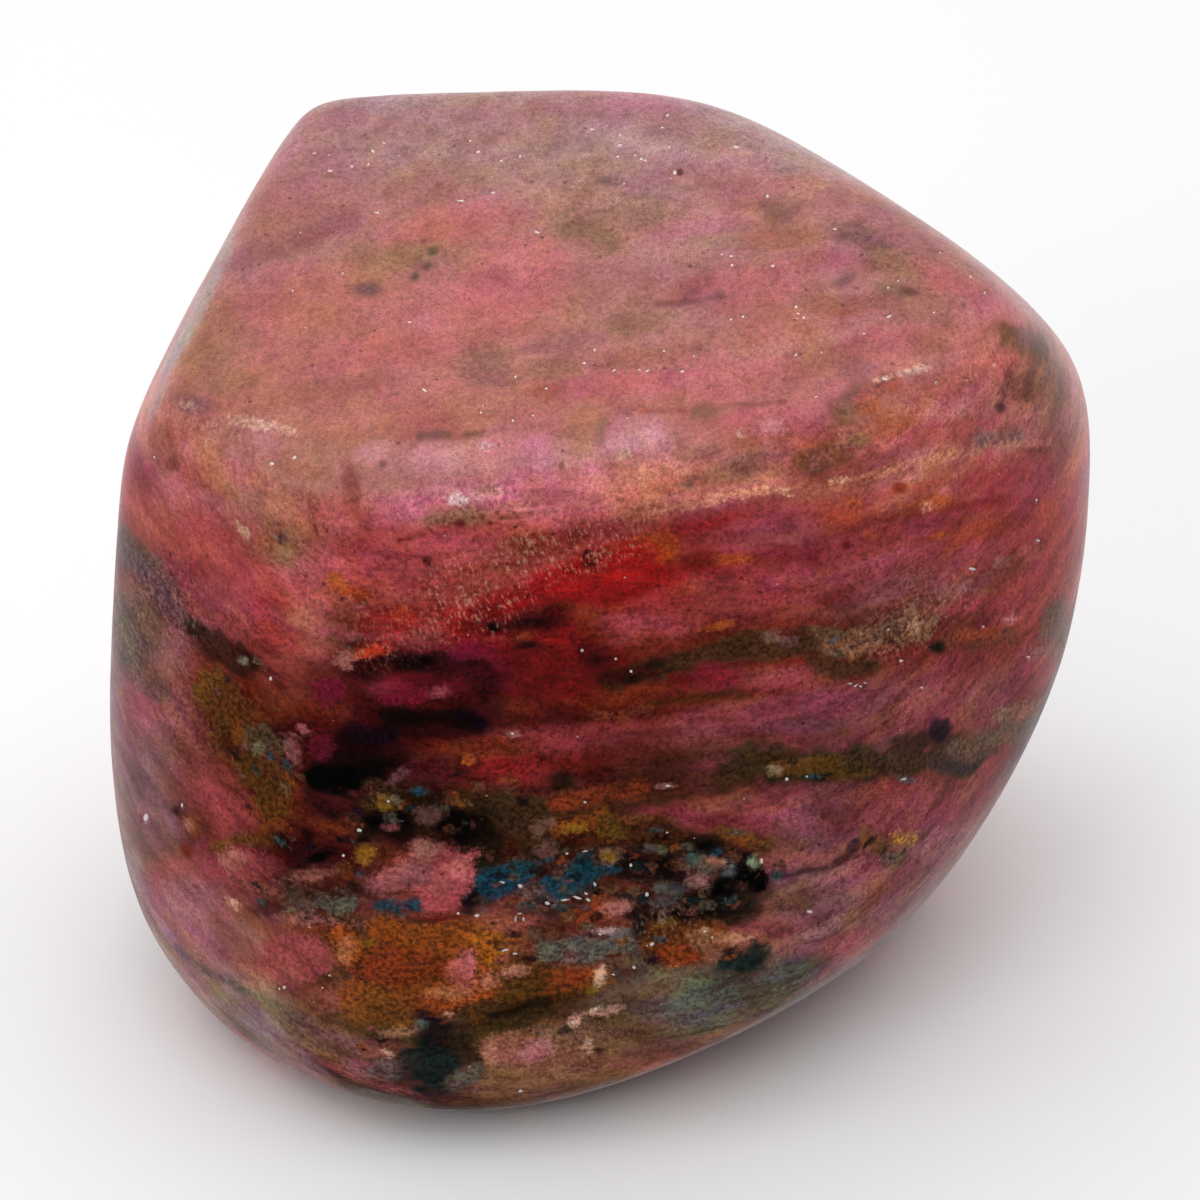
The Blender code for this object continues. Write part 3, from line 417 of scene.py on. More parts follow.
# Small crisp things on top of the bands: colour, x, y, half length, half width,
# turn, opacity.
SPOTS = [
    # dark specks
    ("moss", 434, 251, 6, 5, 0, 0.8), ("moss", 429, 267, 8, 5, 20, 0.75), ("moss", 416, 278, 7, 5, 25, 0.8),
    ("greymauve", 369, 288, 13, 6, 5, 0.8), ("brown", 424, 241, 5, 3, 0, 0.5), ("brown", 439, 183, 6, 5, 0, 0.5),
    ("redbrown", 681, 172, 4, 4, 0, 0.9), ("greymauve", 606, 181, 9, 4, -10, 0.7), ("brown", 361, 376, 4, 2.5, 25, 0.8),
    ("greymauve", 721, 296, 5, 5, 0, 0.6), ("greymauve", 194, 402, 12, 7, -30, 0.6), ("brown", 174, 464, 8, 8, 0, 0.7),
    ("brown", 384, 463, 5, 5, 0, 0.7), ("brown", 561, 465, 2.5, 5, 0, 0.6), ("maroon", 497, 445, 3, 3, 0, 0.7),
    ("maroon", 459, 525, 6, 5, 0, 0.95), ("maroon", 481, 517, 4, 3.5, 0, 0.9), ("maroon", 490, 523, 4, 3, 0, 0.8),
    ("maroon", 433, 532, 9, 2.5, -42, 0.9), ("maroon", 409, 538, 3.5, 3.5, 0, 0.9), ("maroon", 397, 540, 6, 2.5, 10, 0.7),
    ("brown", 481, 487, 7, 2, 10, 0.8), ("brown", 494, 487, 5, 2.5, 20, 0.8), ("maroon", 427, 562, 3.5, 5, 10, 1.0),
    ("black", 588, 556, 9, 8, 0, 1.0), ("umber", 364, 602, 6, 4, 0, 0.9), ("black", 495, 627, 8, 5, 0, 0.95),
    ("plum", 532, 622, 30, 5, 6, 0.85), ("ochre", 525, 635, 11, 4, 8, 0.9), ("plum", 528, 644, 15, 5, 10, 0.9),
    ("slate", 282, 536, 7, 6, 0, 0.7), ("black", 281, 536, 5, 4.5, 0, 0.8), ("brown", 302, 541, 10, 2.5, 8, 0.6),
    ("maroon", 313, 526, 5, 5, 0, 0.8), ("maroon", 327, 529, 3, 4, 0, 0.8), ("maroon", 317, 535, 2.5, 4, 0, 0.8), ("maroon", 346, 528, 3, 3, 0, 0.6),
    ("greenblack", 350, 649, 7, 5, 10, 0.9), ("greenblack", 360, 641, 6, 4, 20, 0.9), ("olive", 332, 640, 9, 5, 0, 0.7), ("umber", 338, 662, 5, 4, 0, 0.7),
    ("maroon", 846, 545, 4.5, 4.5, 0, 0.8), ("redbrown", 899, 488, 8, 5, 5, 0.9), ("maroon", 811, 560, 10, 6, 0, 0.6), ("maroon", 864, 538, 6, 4, 10, 0.6),
    ("greenblack", 939, 647, 10, 6.5, 0, 1.0), ("navy", 940, 728, 11, 14, -10, 0.85), ("plum", 1000, 408, 7, 6, 0, 0.8),
    ("brown", 1027, 397, 5, 4, 0, 0.8), ("greymauve", 1026, 340, 7, 12, -15, 0.75), ("brown", 1013, 330, 4, 4, 0, 0.6),
    ("greymauve", 845, 281, 11, 6, 38, 0.75), ("greymauve", 888, 244, 7, 4, 10, 0.7), ("greymauve", 839, 238, 8, 6, 0, 0.5),
    ("brown", 910, 292, 11, 3.5, -14, 0.6), ("greymauve", 964, 306, 4, 4, 0, 0.6), ("greymauve", 1082, 404, 5, 12, 0, 0.6),
    ("black", 373, 823, 8, 7, 0, 0.9), ("black", 364, 843, 7, 7, 0, 0.9), ("black", 370, 873, 3.5, 3.5, 0, 1.0), ("black", 358, 862, 4, 3, 0, 0.8),
    ("black", 320, 858, 18, 5, 22, 1.0), ("black", 300, 866, 8, 3, 10, 0.7), ("plum", 174, 811, 6, 5, 0, 0.8), ("slate", 140, 836, 4, 4, 0, 0.8),
    ("maroon", 440, 918, 21, 3, 4, 0.95), ("umber", 414, 921, 10, 2.5, 8, 0.8), ("maroon", 196, 887, 4, 3, -30, 0.7),
    ("redbrown", 186, 847, 9, 9, 0, 0.85), ("umber", 192, 838, 5, 5, 0, 0.6), ("plum", 308, 835, 7, 9, 10, 0.8),
    ("black", 728, 886, 15, 13, 0, 0.9), ("black", 707, 846, 14, 6, 4, 0.85), ("slate", 692, 484, 6, 6, 0, 0.6),
    ("plum", 600, 660, 18, 7, 10, 0.6), ("greenblack", 656, 664, 12, 5, 10, 0.7), ("greenblack", 630, 680, 14, 5, 8, 0.7),
    # yellow, orange and rust
    ("fire", 354, 591, 23, 7, -14, 0.95), ("orange", 340, 580, 10, 6, -30, 0.8), ("fire", 658, 545, 17, 15, 10, 0.9),
    ("rust", 606, 551, 22, 5, 20, 0.7), ("redbrown", 700, 560, 26, 10, 0, 0.95), ("orange", 734, 558, 16, 6, 6, 0.8),
    ("fire", 640, 536, 12, 6, 24, 0.6), ("fire", 372, 652, 20, 6, 5, 0.8), ("orange", 398, 614, 8, 10, 0, 0.4),
    ("orange", 718, 626, 18, 4, 14, 0.7), ("orange", 936, 498, 12, 6, 10, 0.6), ("peach", 926, 506, 8, 5, 0, 0.7),
    ("orange", 940, 536, 10, 5, 10, 0.6), ("orange", 854, 503, 10, 9, 0, 0.6), ("orange", 868, 532, 6, 5, 0, 0.4),
    ("orange", 469, 760, 7, 6, 0, 0.8), ("amber", 824, 763, 38, 9, 2, 0.75), ("amber", 785, 768, 20, 9, 0, 0.6), ("amber", 850, 776, 24, 5, 4, 0.6),
    ("amber", 236, 736, 7, 12, 0, 0.75), ("amber", 190, 826, 13, 10, -20, 0.85), ("peach", 187, 824, 6, 6, 0, 0.6),
    ("amber", 272, 828, 14, 9, 0, 0.8), ("ochre", 364, 856, 10, 9, 30, 0.8), ("amber", 345, 871, 12, 8, 0, 0.9),
    ("ochre", 386, 806, 12, 8, 10, 0.6), ("ochre", 668, 925, 12, 5, 10, 0.6), ("ochre", 365, 944, 10, 4, 5, 0.6),
    ("ochre", 575, 828, 12, 5, 8, 0.6), ("orange", 350, 944, 9, 13, 0, 0.7), ("fire", 572, 974, 20, 8, 8, 0.6),
    ("fire", 690, 958, 14, 5, 10, 0.7), ("amber", 600, 982, 14, 7, 30, 0.7), ("cream", 599, 975, 6, 13, -8, 0.85), ("ochre", 592, 990, 8, 4, 20, 0.7),
    ("amber", 478, 1018, 8, 7, 0, 0.6), ("amber", 741, 842, 20, 5, -6, 0.6), ("orange", 979, 634, 20, 6, 0, 0.5),
    # reds
    ("blood", 556, 662, 27, 22, 0, 1.0), ("orange", 560, 640, 24, 2.5, -6, 0.75), ("peach", 548, 640, 8, 2, 8, 0.6),
    ("magenta", 332, 694, 17, 13, 0, 0.8), ("magenta", 407, 696, 28, 11, 4, 0.85), ("magenta", 322, 748, 13, 12, 0, 0.75),
    ("scarlet", 632, 556, 24, 11, 10, 0.6), ("crimson", 560, 574, 13, 9, 0, 0.6), ("crimson", 508, 600, 12, 7, 10, 0.6),
    ("magenta", 452, 690, 12, 8, 0, 0.5), ("crimson", 276, 861, 8, 7, 0, 0.8), ("magenta", 470, 655, 16, 9, 6, 0.5),
    # pink and pale lenses between the dark ones
    ("deeprose", 436, 870, 34, 24, 0, 0.9), ("mauve", 404, 878, 36, 14, 14, 0.75), ("deeprose", 460, 872, 22, 19, 20, 0.92), ("deeprose", 446, 894, 20, 16, 0, 0.90), ("rose", 462, 868, 13, 11, 0, 0.7),
    ("dusty", 424, 850, 16, 10, 0, 0.8), ("rose", 440, 884, 12, 10, 0, 0.5), ("duskpink", 250, 862, 32, 15, -4, 0.85), ("dusty", 232, 858, 14, 10, 0, 0.6),
    ("dusty", 312, 874, 26, 6, 2, 0.9), ("duskpink", 298, 962, 39, 24, -2, 0.9), ("deeprose", 290, 968, 26, 13, 0, 0.5), ("rose", 462, 970, 15, 15, 30, 0.85),
    ("peach", 452, 992, 22, 7, 4, 0.7), ("pink", 468, 956, 9, 7, 0, 0.7), ("peach", 489, 980, 9, 8, 0, 0.7), ("peach", 344, 952, 10, 13, 0, 0.5),
    ("clay", 504, 1042, 24, 9, 10, 0.85), ("dusty", 540, 1052, 18, 12, 10, 0.8), ("pink", 538, 1056, 11, 8, 0, 0.6), ("peach", 490, 1054, 8, 12, 0, 0.7),
    ("cream", 575, 1020, 9, 6, 35, 0.8), ("cream", 594, 1012, 7, 4, 20, 0.7), ("cream", 588, 1046, 5, 8, 0, 0.5), ("dusty", 612, 1010, 14, 5, 14, 0.6),
    ("peach", 392, 1032, 15, 5, 8, 0.6), ("greyteal", 421, 1024, 7, 6, 40, 0.9), ("cream", 386, 1053, 8, 4, -40, 0.6), ("cream", 450, 1013, 6, 4, -20, 0.6),
    ("clay", 711, 953, 10, 9, 0, 0.85), ("peach", 730, 940, 22, 5, 0, 0.7), ("peach", 700, 940, 12, 7, 0, 0.6), ("cream", 704, 932, 5, 4, 0, 0.7),
    ("khaki", 704, 862, 22, 7, -8, 0.9), ("peach", 716, 862, 10, 3, -14, 0.6), ("greyteal", 691, 858, 7, 6, 0, 0.9), ("dusty", 698, 878, 12, 9, 0, 0.8),
    ("greyteal", 668, 890, 16, 7, -4, 0.75), ("teal", 678, 886, 10, 5, 0, 0.5), ("greyteal", 730, 872, 8, 5, 0, 0.85), ("palegreen", 756, 864, 7, 8, 0, 0.8),
    ("slate", 664, 904, 14, 8, 0, 0.7), ("palegreen", 662, 850, 5, 4, 0, 0.6), ("slate", 650, 848, 7, 5, 0, 0.7), ("deepteal", 640, 930, 9, 12, 10, 0.8),
    ("khaki", 611, 855, 10, 8, 0, 0.9), ("ochre", 610, 856, 7, 4, -20, 0.6), ("palegreen", 257, 749, 7, 6, -20, 0.8), ("palegreen", 243, 661, 5, 5, 0, 0.8),
    ("greyteal", 616, 933, 14, 5, 8, 0.6), ("fog", 606, 931, 14, 3.5, 4, 0.85), ("dusty", 616, 908, 16, 7, 8, 0.7), ("tan", 515, 970, 13, 6, 6, 0.8),
    ("khaki", 536, 828, 9, 12, 20, 0.6), ("greymauve", 546, 824, 9, 9, 30, 0.7), ("greymauve", 428, 816, 14, 8, 0, 0.75), ("greymauve", 545, 848, 12, 10, 30, 0.6),
    ("palegreen", 397, 801, 6, 4, -30, 0.6), ("greymauve", 400, 778, 12, 6, 30, 0.6), ("dusty", 440, 694, 8, 7, 0, 0.6), ("dusty", 296, 752, 9, 14, 20, 0.6),
    ("palepink", 304, 730, 8, 4, -30, 0.7), ("dusty", 512, 735, 8, 4, 10, 0.5), ("greymauve", 402, 775, 4, 3, 0, 0.4), ("dusty", 346, 662, 11, 9, 0, 0.6),
    # the cream spot at 773, 770 is a painted glint
    ("cream", 773, 770, 8, 6, 0, 0.6), ("slate", 906, 780, 12, 4, -14, 0.85), ("dusty", 665, 786, 10, 3, 5, 0.6), ("teal", 590, 864, 8, 7, 30, 0.7),
    ("moss", 292, 896, 8, 10, 0, 0.5), ("palegreen", 341, 902, 7, 6, 0, 0.7), ("palegreen", 290, 909, 8, 3, -4, 0.8), ("cream", 234, 904, 8, 6, -50, 0.6),
    # cream and pale marks on the ridge and the top: grinding marks, and painted highlights where the ridge catches the
    # light
    ("cream", 256, 424, 24, 6, -12, 0.7), ("cream", 289, 432, 13, 4, -16, 0.65), ("cream", 186, 405, 10, 5, -30, 0.45), ("white", 458, 500, 12, 6, 0, 0.6),
    ("cream", 491, 494, 18, 7, 4, 0.55), ("white", 486, 446, 8, 4, 0, 0.5), ("cream", 626, 454, 7, 5, 30, 0.75), ("cream", 783, 491, 9, 4, -12, 0.85),
    ("cream", 838, 480, 11, 4, 8, 0.7), ("peach", 742, 494, 46, 4, 7, 0.8), ("peach", 693, 504, 40, 5, 8, 0.6), ("peach", 880, 472, 26, 5, 14, 0.8),
    ("peach", 940, 456, 44, 5, 12, 0.75), ("peach", 1020, 444, 40, 4, 4, 0.35), ("cream", 913, 372, 16, 4, 14, 0.7), ("cream", 884, 379, 12, 3, 14, 0.75),
    ("cream", 740, 432, 6, 5, 0, 0.6), ("palepink", 772, 426, 14, 8, 0, 0.5), ("cream", 240, 527, 2, 12, 12, 0.7), ("cream", 246, 532, 2, 10, 30, 0.6),
    ("cream", 914, 624, 8, 7, 0, 0.5), ("khaki", 884, 628, 12, 6, 20, 0.5), ("fog", 1001, 560, 12, 5, 20, 0.2), ("palepink", 1010, 618, 8, 5, 20, 0.5),
    ("palepink", 768, 167, 12, 6, 10, 0.5), ("fog", 783, 168, 8, 4, 0, 0.6), ("brown", 789, 171, 7, 2, -10, 0.7), ("brown", 776, 164, 6, 2, 20, 0.5),
]

# Stains and painted highlights: x, y, half length, half width, turn, and how
# the light of red, green and blue changes. The red heart is deepest, its lower
# left and the veins on the right are stained brown, the ridge is lightened as a
# painted highlight, and the lower right is paler.
STAINS_AND_HIGHLIGHTS = [
    (558, 660, 66, 48, 0, (0.56, 0.08, 0.12)), (500, 614, 60, 24, 14, (0.95, 0.25, 0.28)), (600, 576, 44, 26, 0, (1.0, 0.14, 0.14)),
    (310, 865, 58, 40, -20, (0.50, 0.42, 0.40)), (272, 755, 40, 52, 0, (0.66, 0.66, 0.55)), (432, 826, 62, 38, 0, (0.50, 0.50, 0.48)),
    (636, 770, 66, 44, 0, (0.68, 0.72, 0.65)), (750, 782, 40, 34, 0, (0.62, 0.80, 0.60)), (680, 940, 52, 34, 10, (0.52, 0.56, 0.42)),
    (556, 985, 46, 28, 0, (0.65, 0.62, 0.40)), (234, 704, 32, 28, 0, (0.75, 0.50, 0.30)), (314, 742, 30, 24, 0, (0.72, 0.50, 0.55)),
    (434, 980, 42, 26, 0, (0.75, 0.75, 0.40)), (190, 590, 38, 40, 0, (0.74, 0.80, 0.86)), (150, 462, 24, 30, 0, (0.82, 0.82, 0.85)),
    (270, 862, 30, 24, 0, (0.80, 0.80, 0.80)), (910, 622, 32, 26, 0, (0.75, 0.80, 0.75)), (190, 822, 36, 34, 0, (0.84, 0.76, 0.80)),
    (350, 942, 34, 28, 0, (0.75, 0.84, 0.60)), (590, 826, 66, 26, 0, (0.85, 0.95, 0.66)),
    (655, 462, 96, 34, 6, (1.18, 1.32, 1.38)), (272, 462, 46, 30, 0, (1.22, 1.28, 1.36)), (992, 350, 40, 44, 0, (1.34, 1.28, 1.40)),
    (910, 388, 46, 30, 0, (1.20, 1.22, 1.26)), (756, 502, 50, 30, 0, (1.26, 1.45, 1.35)), (312, 582, 40, 28, 0, (1.20, 1.60, 1.60)),
    (510, 942, 34, 24, 0, (1.50, 1.90, 1.50)), (640, 992, 58, 26, 0, (1.30, 1.90, 1.70)), (700, 1004, 50, 24, 30, (1.05, 1.70, 1.70)),
    (870, 424, 40, 26, 0, (1.22, 1.55, 1.30)), (500, 150, 270, 50, 0, (0.84, 1.0, 0.94)),
    (390, 1022, 40, 24, 0, (0.66, 0.78, 0.62)), (832, 780, 44, 60, 0, (0.64, 0.92, 0.86)), (672, 862, 38, 28, 0, (0.52, 0.75, 0.72)),
    (712, 902, 30, 24, 0, (0.52, 0.62, 0.62)), (870, 622, 34, 26, 0, (0.74, 0.80, 0.75)), (430, 420, 40, 24, 0, (0.88, 0.76, 0.82)),
    (272, 542, 40, 26, 0, (0.72, 0.95, 0.80)), (794, 826, 30, 26, 0, (0.95, 1.45, 1.40)), (990, 702, 30, 34, 0, (0.90, 1.45, 1.45)),
    (912, 822, 36, 30, 0, (1.10, 1.30, 1.38)), (192, 902, 34, 28, 0, (0.82, 1.28, 1.20)), (392, 862, 26, 24, 0, (1.50, 1.45, 1.15)),
    (390, 662, 34, 24, 0, (1.45, 0.70, 0.90)), (716, 580, 90, 26, 0, (0.92, 0.68, 0.72)), (232, 622, 34, 26, 0, (1.12, 1.35, 1.50)),
    (500, 1020, 50, 24, 0, (0.76, 0.82, 0.62)), (800, 740, 130, 84, 0, (0.88, 1.08, 1.06)), (146, 660, 42, 210, 0, (0.82, 1.0, 0.98)),
    (250, 1004, 52, 34, -30, (1.06, 1.40, 1.34)),
    (450, 552, 160, 34, 6, (1.12, 1.20, 1.22)), (390, 624, 36, 20, 0, (1.0, 0.50, 0.50)), (472, 624, 34, 18, 0, (0.92, 0.42, 0.42)),
    (550, 624, 30, 18, 0, (1.20, 0.50, 0.30)), (552, 584, 34, 18, 0, (1.0, 0.55, 0.65)), (912, 716, 66, 50, 0, (1.0, 1.40, 1.40)),
    (798, 880, 56, 48, 0, (0.94, 1.30, 1.30)), (834, 942, 36, 26, 0, (1.10, 1.35, 1.30)), (792, 982, 34, 20, 0, (1.10, 1.35, 1.45)),
    (710, 742, 32, 20, 0, (1.20, 1.40, 1.70)), (672, 222, 64, 40, 0, (1.08, 1.20, 1.20)), (1032, 384, 22, 40, 0, (1.30, 1.25, 1.20)),
    (232, 940, 34, 26, 0, (0.78, 1.18, 1.18)), (272, 502, 36, 22, 0, (1.0, 1.15, 1.45)), (630, 418, 40, 22, 0, (0.90, 0.86, 0.84)),
    (272, 622, 30, 22, 0, (1.05, 1.35, 1.32)), (792, 540, 54, 24, 0, (1.12, 1.28, 1.36)), (470, 862, 26, 20, 0, (1.25, 1.40, 1.40)),
    (470, 500, 60, 22, 0, (1.08, 1.15, 1.20)), (308, 540, 30, 22, 0, (1.06, 1.35, 1.35)), (350, 584, 30, 20, 0, (0.86, 0.80, 0.60)),
    (1030, 342, 22, 30, 0, (0.92, 0.82, 0.78)), (232, 502, 36, 24, 0, (0.78, 0.88, 0.92)), (910, 582, 34, 22, 0, (0.80, 0.82, 0.86)),
    (480, 582, 60, 20, 10, (0.96, 0.76, 0.72)), (430, 182, 50, 24, 0, (0.92, 0.82, 0.86)), (952, 782, 32, 22, 0, (1.0, 1.38, 1.36)),
    (426, 700, 60, 32, 0, (0.98, 0.50, 0.70)), (950, 392, 64, 24, 8, (0.95, 1.12, 1.40)), (480, 1088, 190, 22, 2, (0.72, 0.98, 0.84)), (780, 1030, 110, 20, 30, (0.80, 1.10, 1.0)),
]

# Chips: real small pits, each also painted white as the glint it catches: x, y, half length, half width, turn (pixels).
CHIP_GLINTS = [
    (314, 152, 3, 1.5, 0), (328, 154, 2.5, 1.8, 20), (330, 170, 5, 1.8, 8), (373, 150, 5, 2, 35), (384, 142, 4, 1.5, 30), (357, 158, 2.5, 1.5, 20),
    (352, 165, 3.5, 1.8, 35), (368, 163, 2.5, 2, 40), (399, 154, 2.5, 1.5, -20), (470, 140, 3.5, 1.8, 20), (478, 151, 3.5, 1.8, -10), (377, 212, 6, 1.6, 0),
    (460, 200, 8, 1.8, 5), (493, 192, 5, 1.6, 0), (292, 290, 1.5, 3, 0), (342, 273, 2, 2, 0), (409, 321, 2.5, 2, -10), (424, 389, 5, 1.8, 42),
    (483, 405, 1.8, 1.6, 0), (481, 412, 2.6, 1.8, 40), (294, 457, 3.4, 2.6, -30), (272, 463, 4, 3, 10), (154, 457, 1.8, 2.4, 0), (592, 129, 4, 1.8, 0),
    (620, 135, 3, 1.6, -20), (620, 145, 4, 1.8, -10), (618, 156, 3, 1.8, 0), (628, 155, 2, 1.8, 0), (635, 155, 2.4, 2, 0), (641, 158, 4, 1.8, -10),
    (645, 160, 2.4, 2, 0), (501, 160, 2.6, 1.8, -30), (520, 156, 2.4, 2.4, 0), (537, 232, 6, 1.6, 4), (667, 115, 3, 1.8, -20), (662, 127, 3.4, 1.5, 0),
    (669, 146, 2.4, 2, 0), (736, 146, 5, 1.8, 4), (675, 172, 3, 3.4, 0), (624, 183, 1.8, 1.8, 0), (767, 195, 3, 2.6, 0), (731, 255, 3.4, 2, 6),
    (722, 254, 2, 1.6, -30), (732, 264, 2.8, 2, -30), (773, 265, 2.6, 2.4, 0), (743, 316, 2.8, 2, -40), (731, 319, 2.8, 1.5, -40), (796, 306, 2.8, 2, -40),
    (798, 313, 2.4, 1.8, 0), (804, 317, 2.8, 2, 20), (595, 349, 2.8, 1.6, -40), (584, 362, 3.6, 1.8, 6), (640, 369, 3.2, 1.6, 30), (648, 370, 3, 1.4, -10),
    (682, 370, 3.2, 1.8, -10), (664, 350, 2.4, 1.8, -20), (694, 355, 1.8, 1.8, 0), (546, 388, 2.8, 1.6, 0), (515, 376, 2.4, 1.5, -40), (614, 370, 3, 1.6, -40),
    (796, 354, 1.8, 1.6, 0), (835, 228, 3, 2.2, 20), (941, 252, 2.8, 1.5, -10), (898, 280, 3, 1.6, -40), (888, 287, 3, 2, -30), (971, 276, 2.4, 1.8, -30),
    (985, 292, 1.8, 2.6, 0), (871, 296, 1.8, 1.5, 0), (889, 316, 4.6, 2, -20), (934, 312, 2.4, 1.5, -10), (864, 333, 2.6, 1.5, -30), (936, 331, 1.4, 2.6, 10),
    (822, 352, 2.6, 1.5, -30), (795, 355, 1.8, 1.6, 0), (996, 365, 2, 3.8, 24), (816, 396, 4, 1.4, -10), (884, 378, 6, 2, 6), (936, 382, 2, 2.6, 30),
    (967, 380, 2, 2, 0), (582, 651, 2.6, 2.6, 0), (631, 672, 2.6, 2.6, 0), (616, 659, 2.2, 2.2, 0), (513, 420, 2.4, 2.4, 0), (533, 415, 1.6, 2.2, 20),
    (850, 684, 4.5, 1.4, 0), (856, 686, 4, 1.4, -28), (861, 687, 3, 1.6, 20), (865, 683, 3, 1.2, 30), (902, 661, 3.4, 2.2, 0), (923, 688, 2.6, 2, 0),
    (889, 630, 2.6, 1.8, -10), (973, 569, 6, 2.4, 10), (1037, 500, 2.2, 2.6, 0), (1039, 541, 4, 2, 24), (984, 627, 2, 2.2, 0), (1029, 657, 2.6, 2, 0),
    (144, 818, 4, 6, 14), (270, 679, 2.4, 3.6, 0), (181, 806, 2, 4, 14), (284, 988, 3, 3, 0), (279, 989, 2, 2, 0), (329, 976, 2, 2.2, 0),
    (322, 988, 2.2, 1.8, 0), (503, 883, 4.4, 1.6, 10), (520, 887, 4.2, 3, 10), (547, 904, 4, 3, 10), (565, 900, 7, 1.8, -4), (577, 898, 8, 2, 18),
    (586, 894, 3.4, 1.8, 30), (595, 885, 2.4, 3.6, -20), (477, 916, 4, 3, 0), (458, 914, 3, 2.4, -30), (516, 920, 2, 7, 10), (524, 920, 2, 4, -20),
    (520, 914, 4, 1.6, 0), (505, 951, 7, 1.8, -18), (515, 954, 5, 1.4, 0), (343, 856, 2.6, 2.4, 0), (359, 831, 4, 3, 20), (787, 780, 3, 3, 0),
    (807, 777, 2, 1.8, 0), (762, 862, 3, 4.6, 10), (647, 895, 3, 3.4, 0), (652, 945, 4, 3, -30), (810, 912, 4.8, 2.6, 4), (712, 938, 2, 2, 0),
    (634, 968, 3, 2.6, 20), (613, 975, 3.4, 1.6, 20), (521, 1092, 3.4, 3, 0), (573, 1024, 5, 2, 50), (596, 1010, 3, 3, 0), (588, 900, 4, 2, 30),
    (631, 866, 2.4, 3, 0), (647, 946, 2.2, 1.6, 0), (705, 932, 3, 2, 0), (586, 852, 5, 1.4, 0), (567, 854, 3, 2.2, -20), (904, 779, 6, 1.6, -16),
    (600, 935, 3, 1.8, 10), (667, 833, 1.8, 1.8, 0), (585, 803, 2.4, 2.4, 0), (668, 786, 4, 1.6, 0), (388, 802, 3, 2, -30), (512, 734, 3, 1.8, 20),
]

# Where dark grains pepper the ground most: x, y, half sizes, turn, strength.
PEPPER = [
    (430, 780, 260, 130, 4, 0.85), (560, 860, 240, 60, 0, 0.9), (470, 960, 220, 90, 0, 0.75), (500, 520, 90, 40, 8, 0.5),
    (560, 625, 120, 26, 8, 0.8), (300, 540, 60, 24, 0, 0.45), (600, 205, 80, 44, 6, 0.35), (1030, 385, 50, 50, 0, 0.6),
    (820, 450, 60, 40, 10, 0.5), (700, 470, 60, 24, 8, 0.45), (850, 650, 130, 30, 8, 0.7), (850, 765, 170, 34, 3, 0.75),
    (230, 690, 70, 110, -20, 0.75), (150, 600, 60, 60, -40, 0.6), (480, 360, 60, 24, 8, 0.3), (420, 262, 50, 26, 8, 0.3),
    (740, 1000, 110, 50, 14, 0.7), (600, 1040, 100, 40, 8, 0.6), (335, 1040, 70, 60, -20, 0.6), (880, 250, 60, 30, -20, 0.35),
]

# Where small grains of many minerals lie in a jumble: the same numbers.
CLUTTER = [
    (610, 880, 150, 48, 0, 0.75), (700, 880, 90, 52, 0, 0.8), (540, 940, 80, 30, 4, 0.55), (600, 960, 80, 26, 8, 0.5),
    (420, 815, 110, 26, 2, 0.45), (300, 870, 80, 46, 0, 0.4), (350, 1035, 50, 36, 0, 0.4), (700, 950, 60, 20, 4, 0.5),
    (270, 760, 50, 60, -20, 0.35), (860, 640, 60, 24, 8, 0.3), (820, 765, 110, 16, 2, 0.35), (880, 850, 40, 22, 10, 0.35),
    (520, 790, 90, 24, 0, 0.3), (560, 1040, 60, 26, 8, 0.35), (240, 690, 40, 40, 0, 0.25), (620, 830, 60, 20, 0, 0.4),
]
CLASTS = ["black", "midteal", "walnut", "deepteal", "saddle", "greenblack", "amber", "moss", "navy", "rosewood", "sepia", "umber", "rust", "teal", "brown", "black"]

# Where the polish broke up into fine pale bristles: x, y, half sizes, turn, strength.
BRISTLES = [
    (470, 500, 70, 18, 4, 0.9), (560, 545, 110, 34, 12, 0.9), (480, 590, 90, 50, 25, 1.0), (400, 630, 60, 40, 30, 0.6),
    (640, 500, 80, 26, 10, 0.7), (560, 470, 90, 20, 6, 0.35), (360, 620, 30, 40, 0, 0.6), (200, 420, 70, 20, -15, 0.6),
    (250, 500, 120, 60, 0, 0.35), (930, 600, 70, 28, 20, 0.7), (880, 640, 60, 24, 6, 0.6), (720, 470, 90, 22, 10, 0.5),
    (160, 620, 50, 80, -30, 0.4), (780, 360, 160, 30, 6, 0.3), (560, 1050, 80, 40, 10, 0.5), (660, 930, 60, 20, 6, 0.5),
]

# ============================================================= the fine skin mesh
SIDE = 114                      # quads along one side of each of six patches
CROWD = 0.35                    # how much finer the mesh is towards the camera


def sphere_directions(n, crowd):
    """A quad sphere as a bmesh of unit directions, denser towards the camera."""
    bm = bmesh.new()
    bmesh.ops.create_cube(bm, size=2.0)
    bmesh.ops.subdivide_edges(bm, edges=list(bm.edges), cuts=n - 1, use_grid_fill=True)
    p = np.array([v.co[:] for v in bm.verts])
    u = np.tan(p * math.pi / 4)
    u /= np.linalg.norm(u, axis=1)[:, None]
    # squeeze the polar angle from the axis that faces the camera
    axis = np.array([0.0, -math.cos(_e), math.sin(_e)])
    c = np.clip(u @ axis, -1, 1)
    theta = np.arccos(c)
    side = u - c[:, None] * axis
    length = np.linalg.norm(side, axis=1)
    side /= np.maximum(length, 1e-9)[:, None]
    squeezed = theta - crowd * np.sin(theta)
    u = np.cos(squeezed)[:, None] * axis + np.sin(squeezed)[:, None] * side
    for v, co in zip(bm.verts, u):
        v.co = co
    return bm


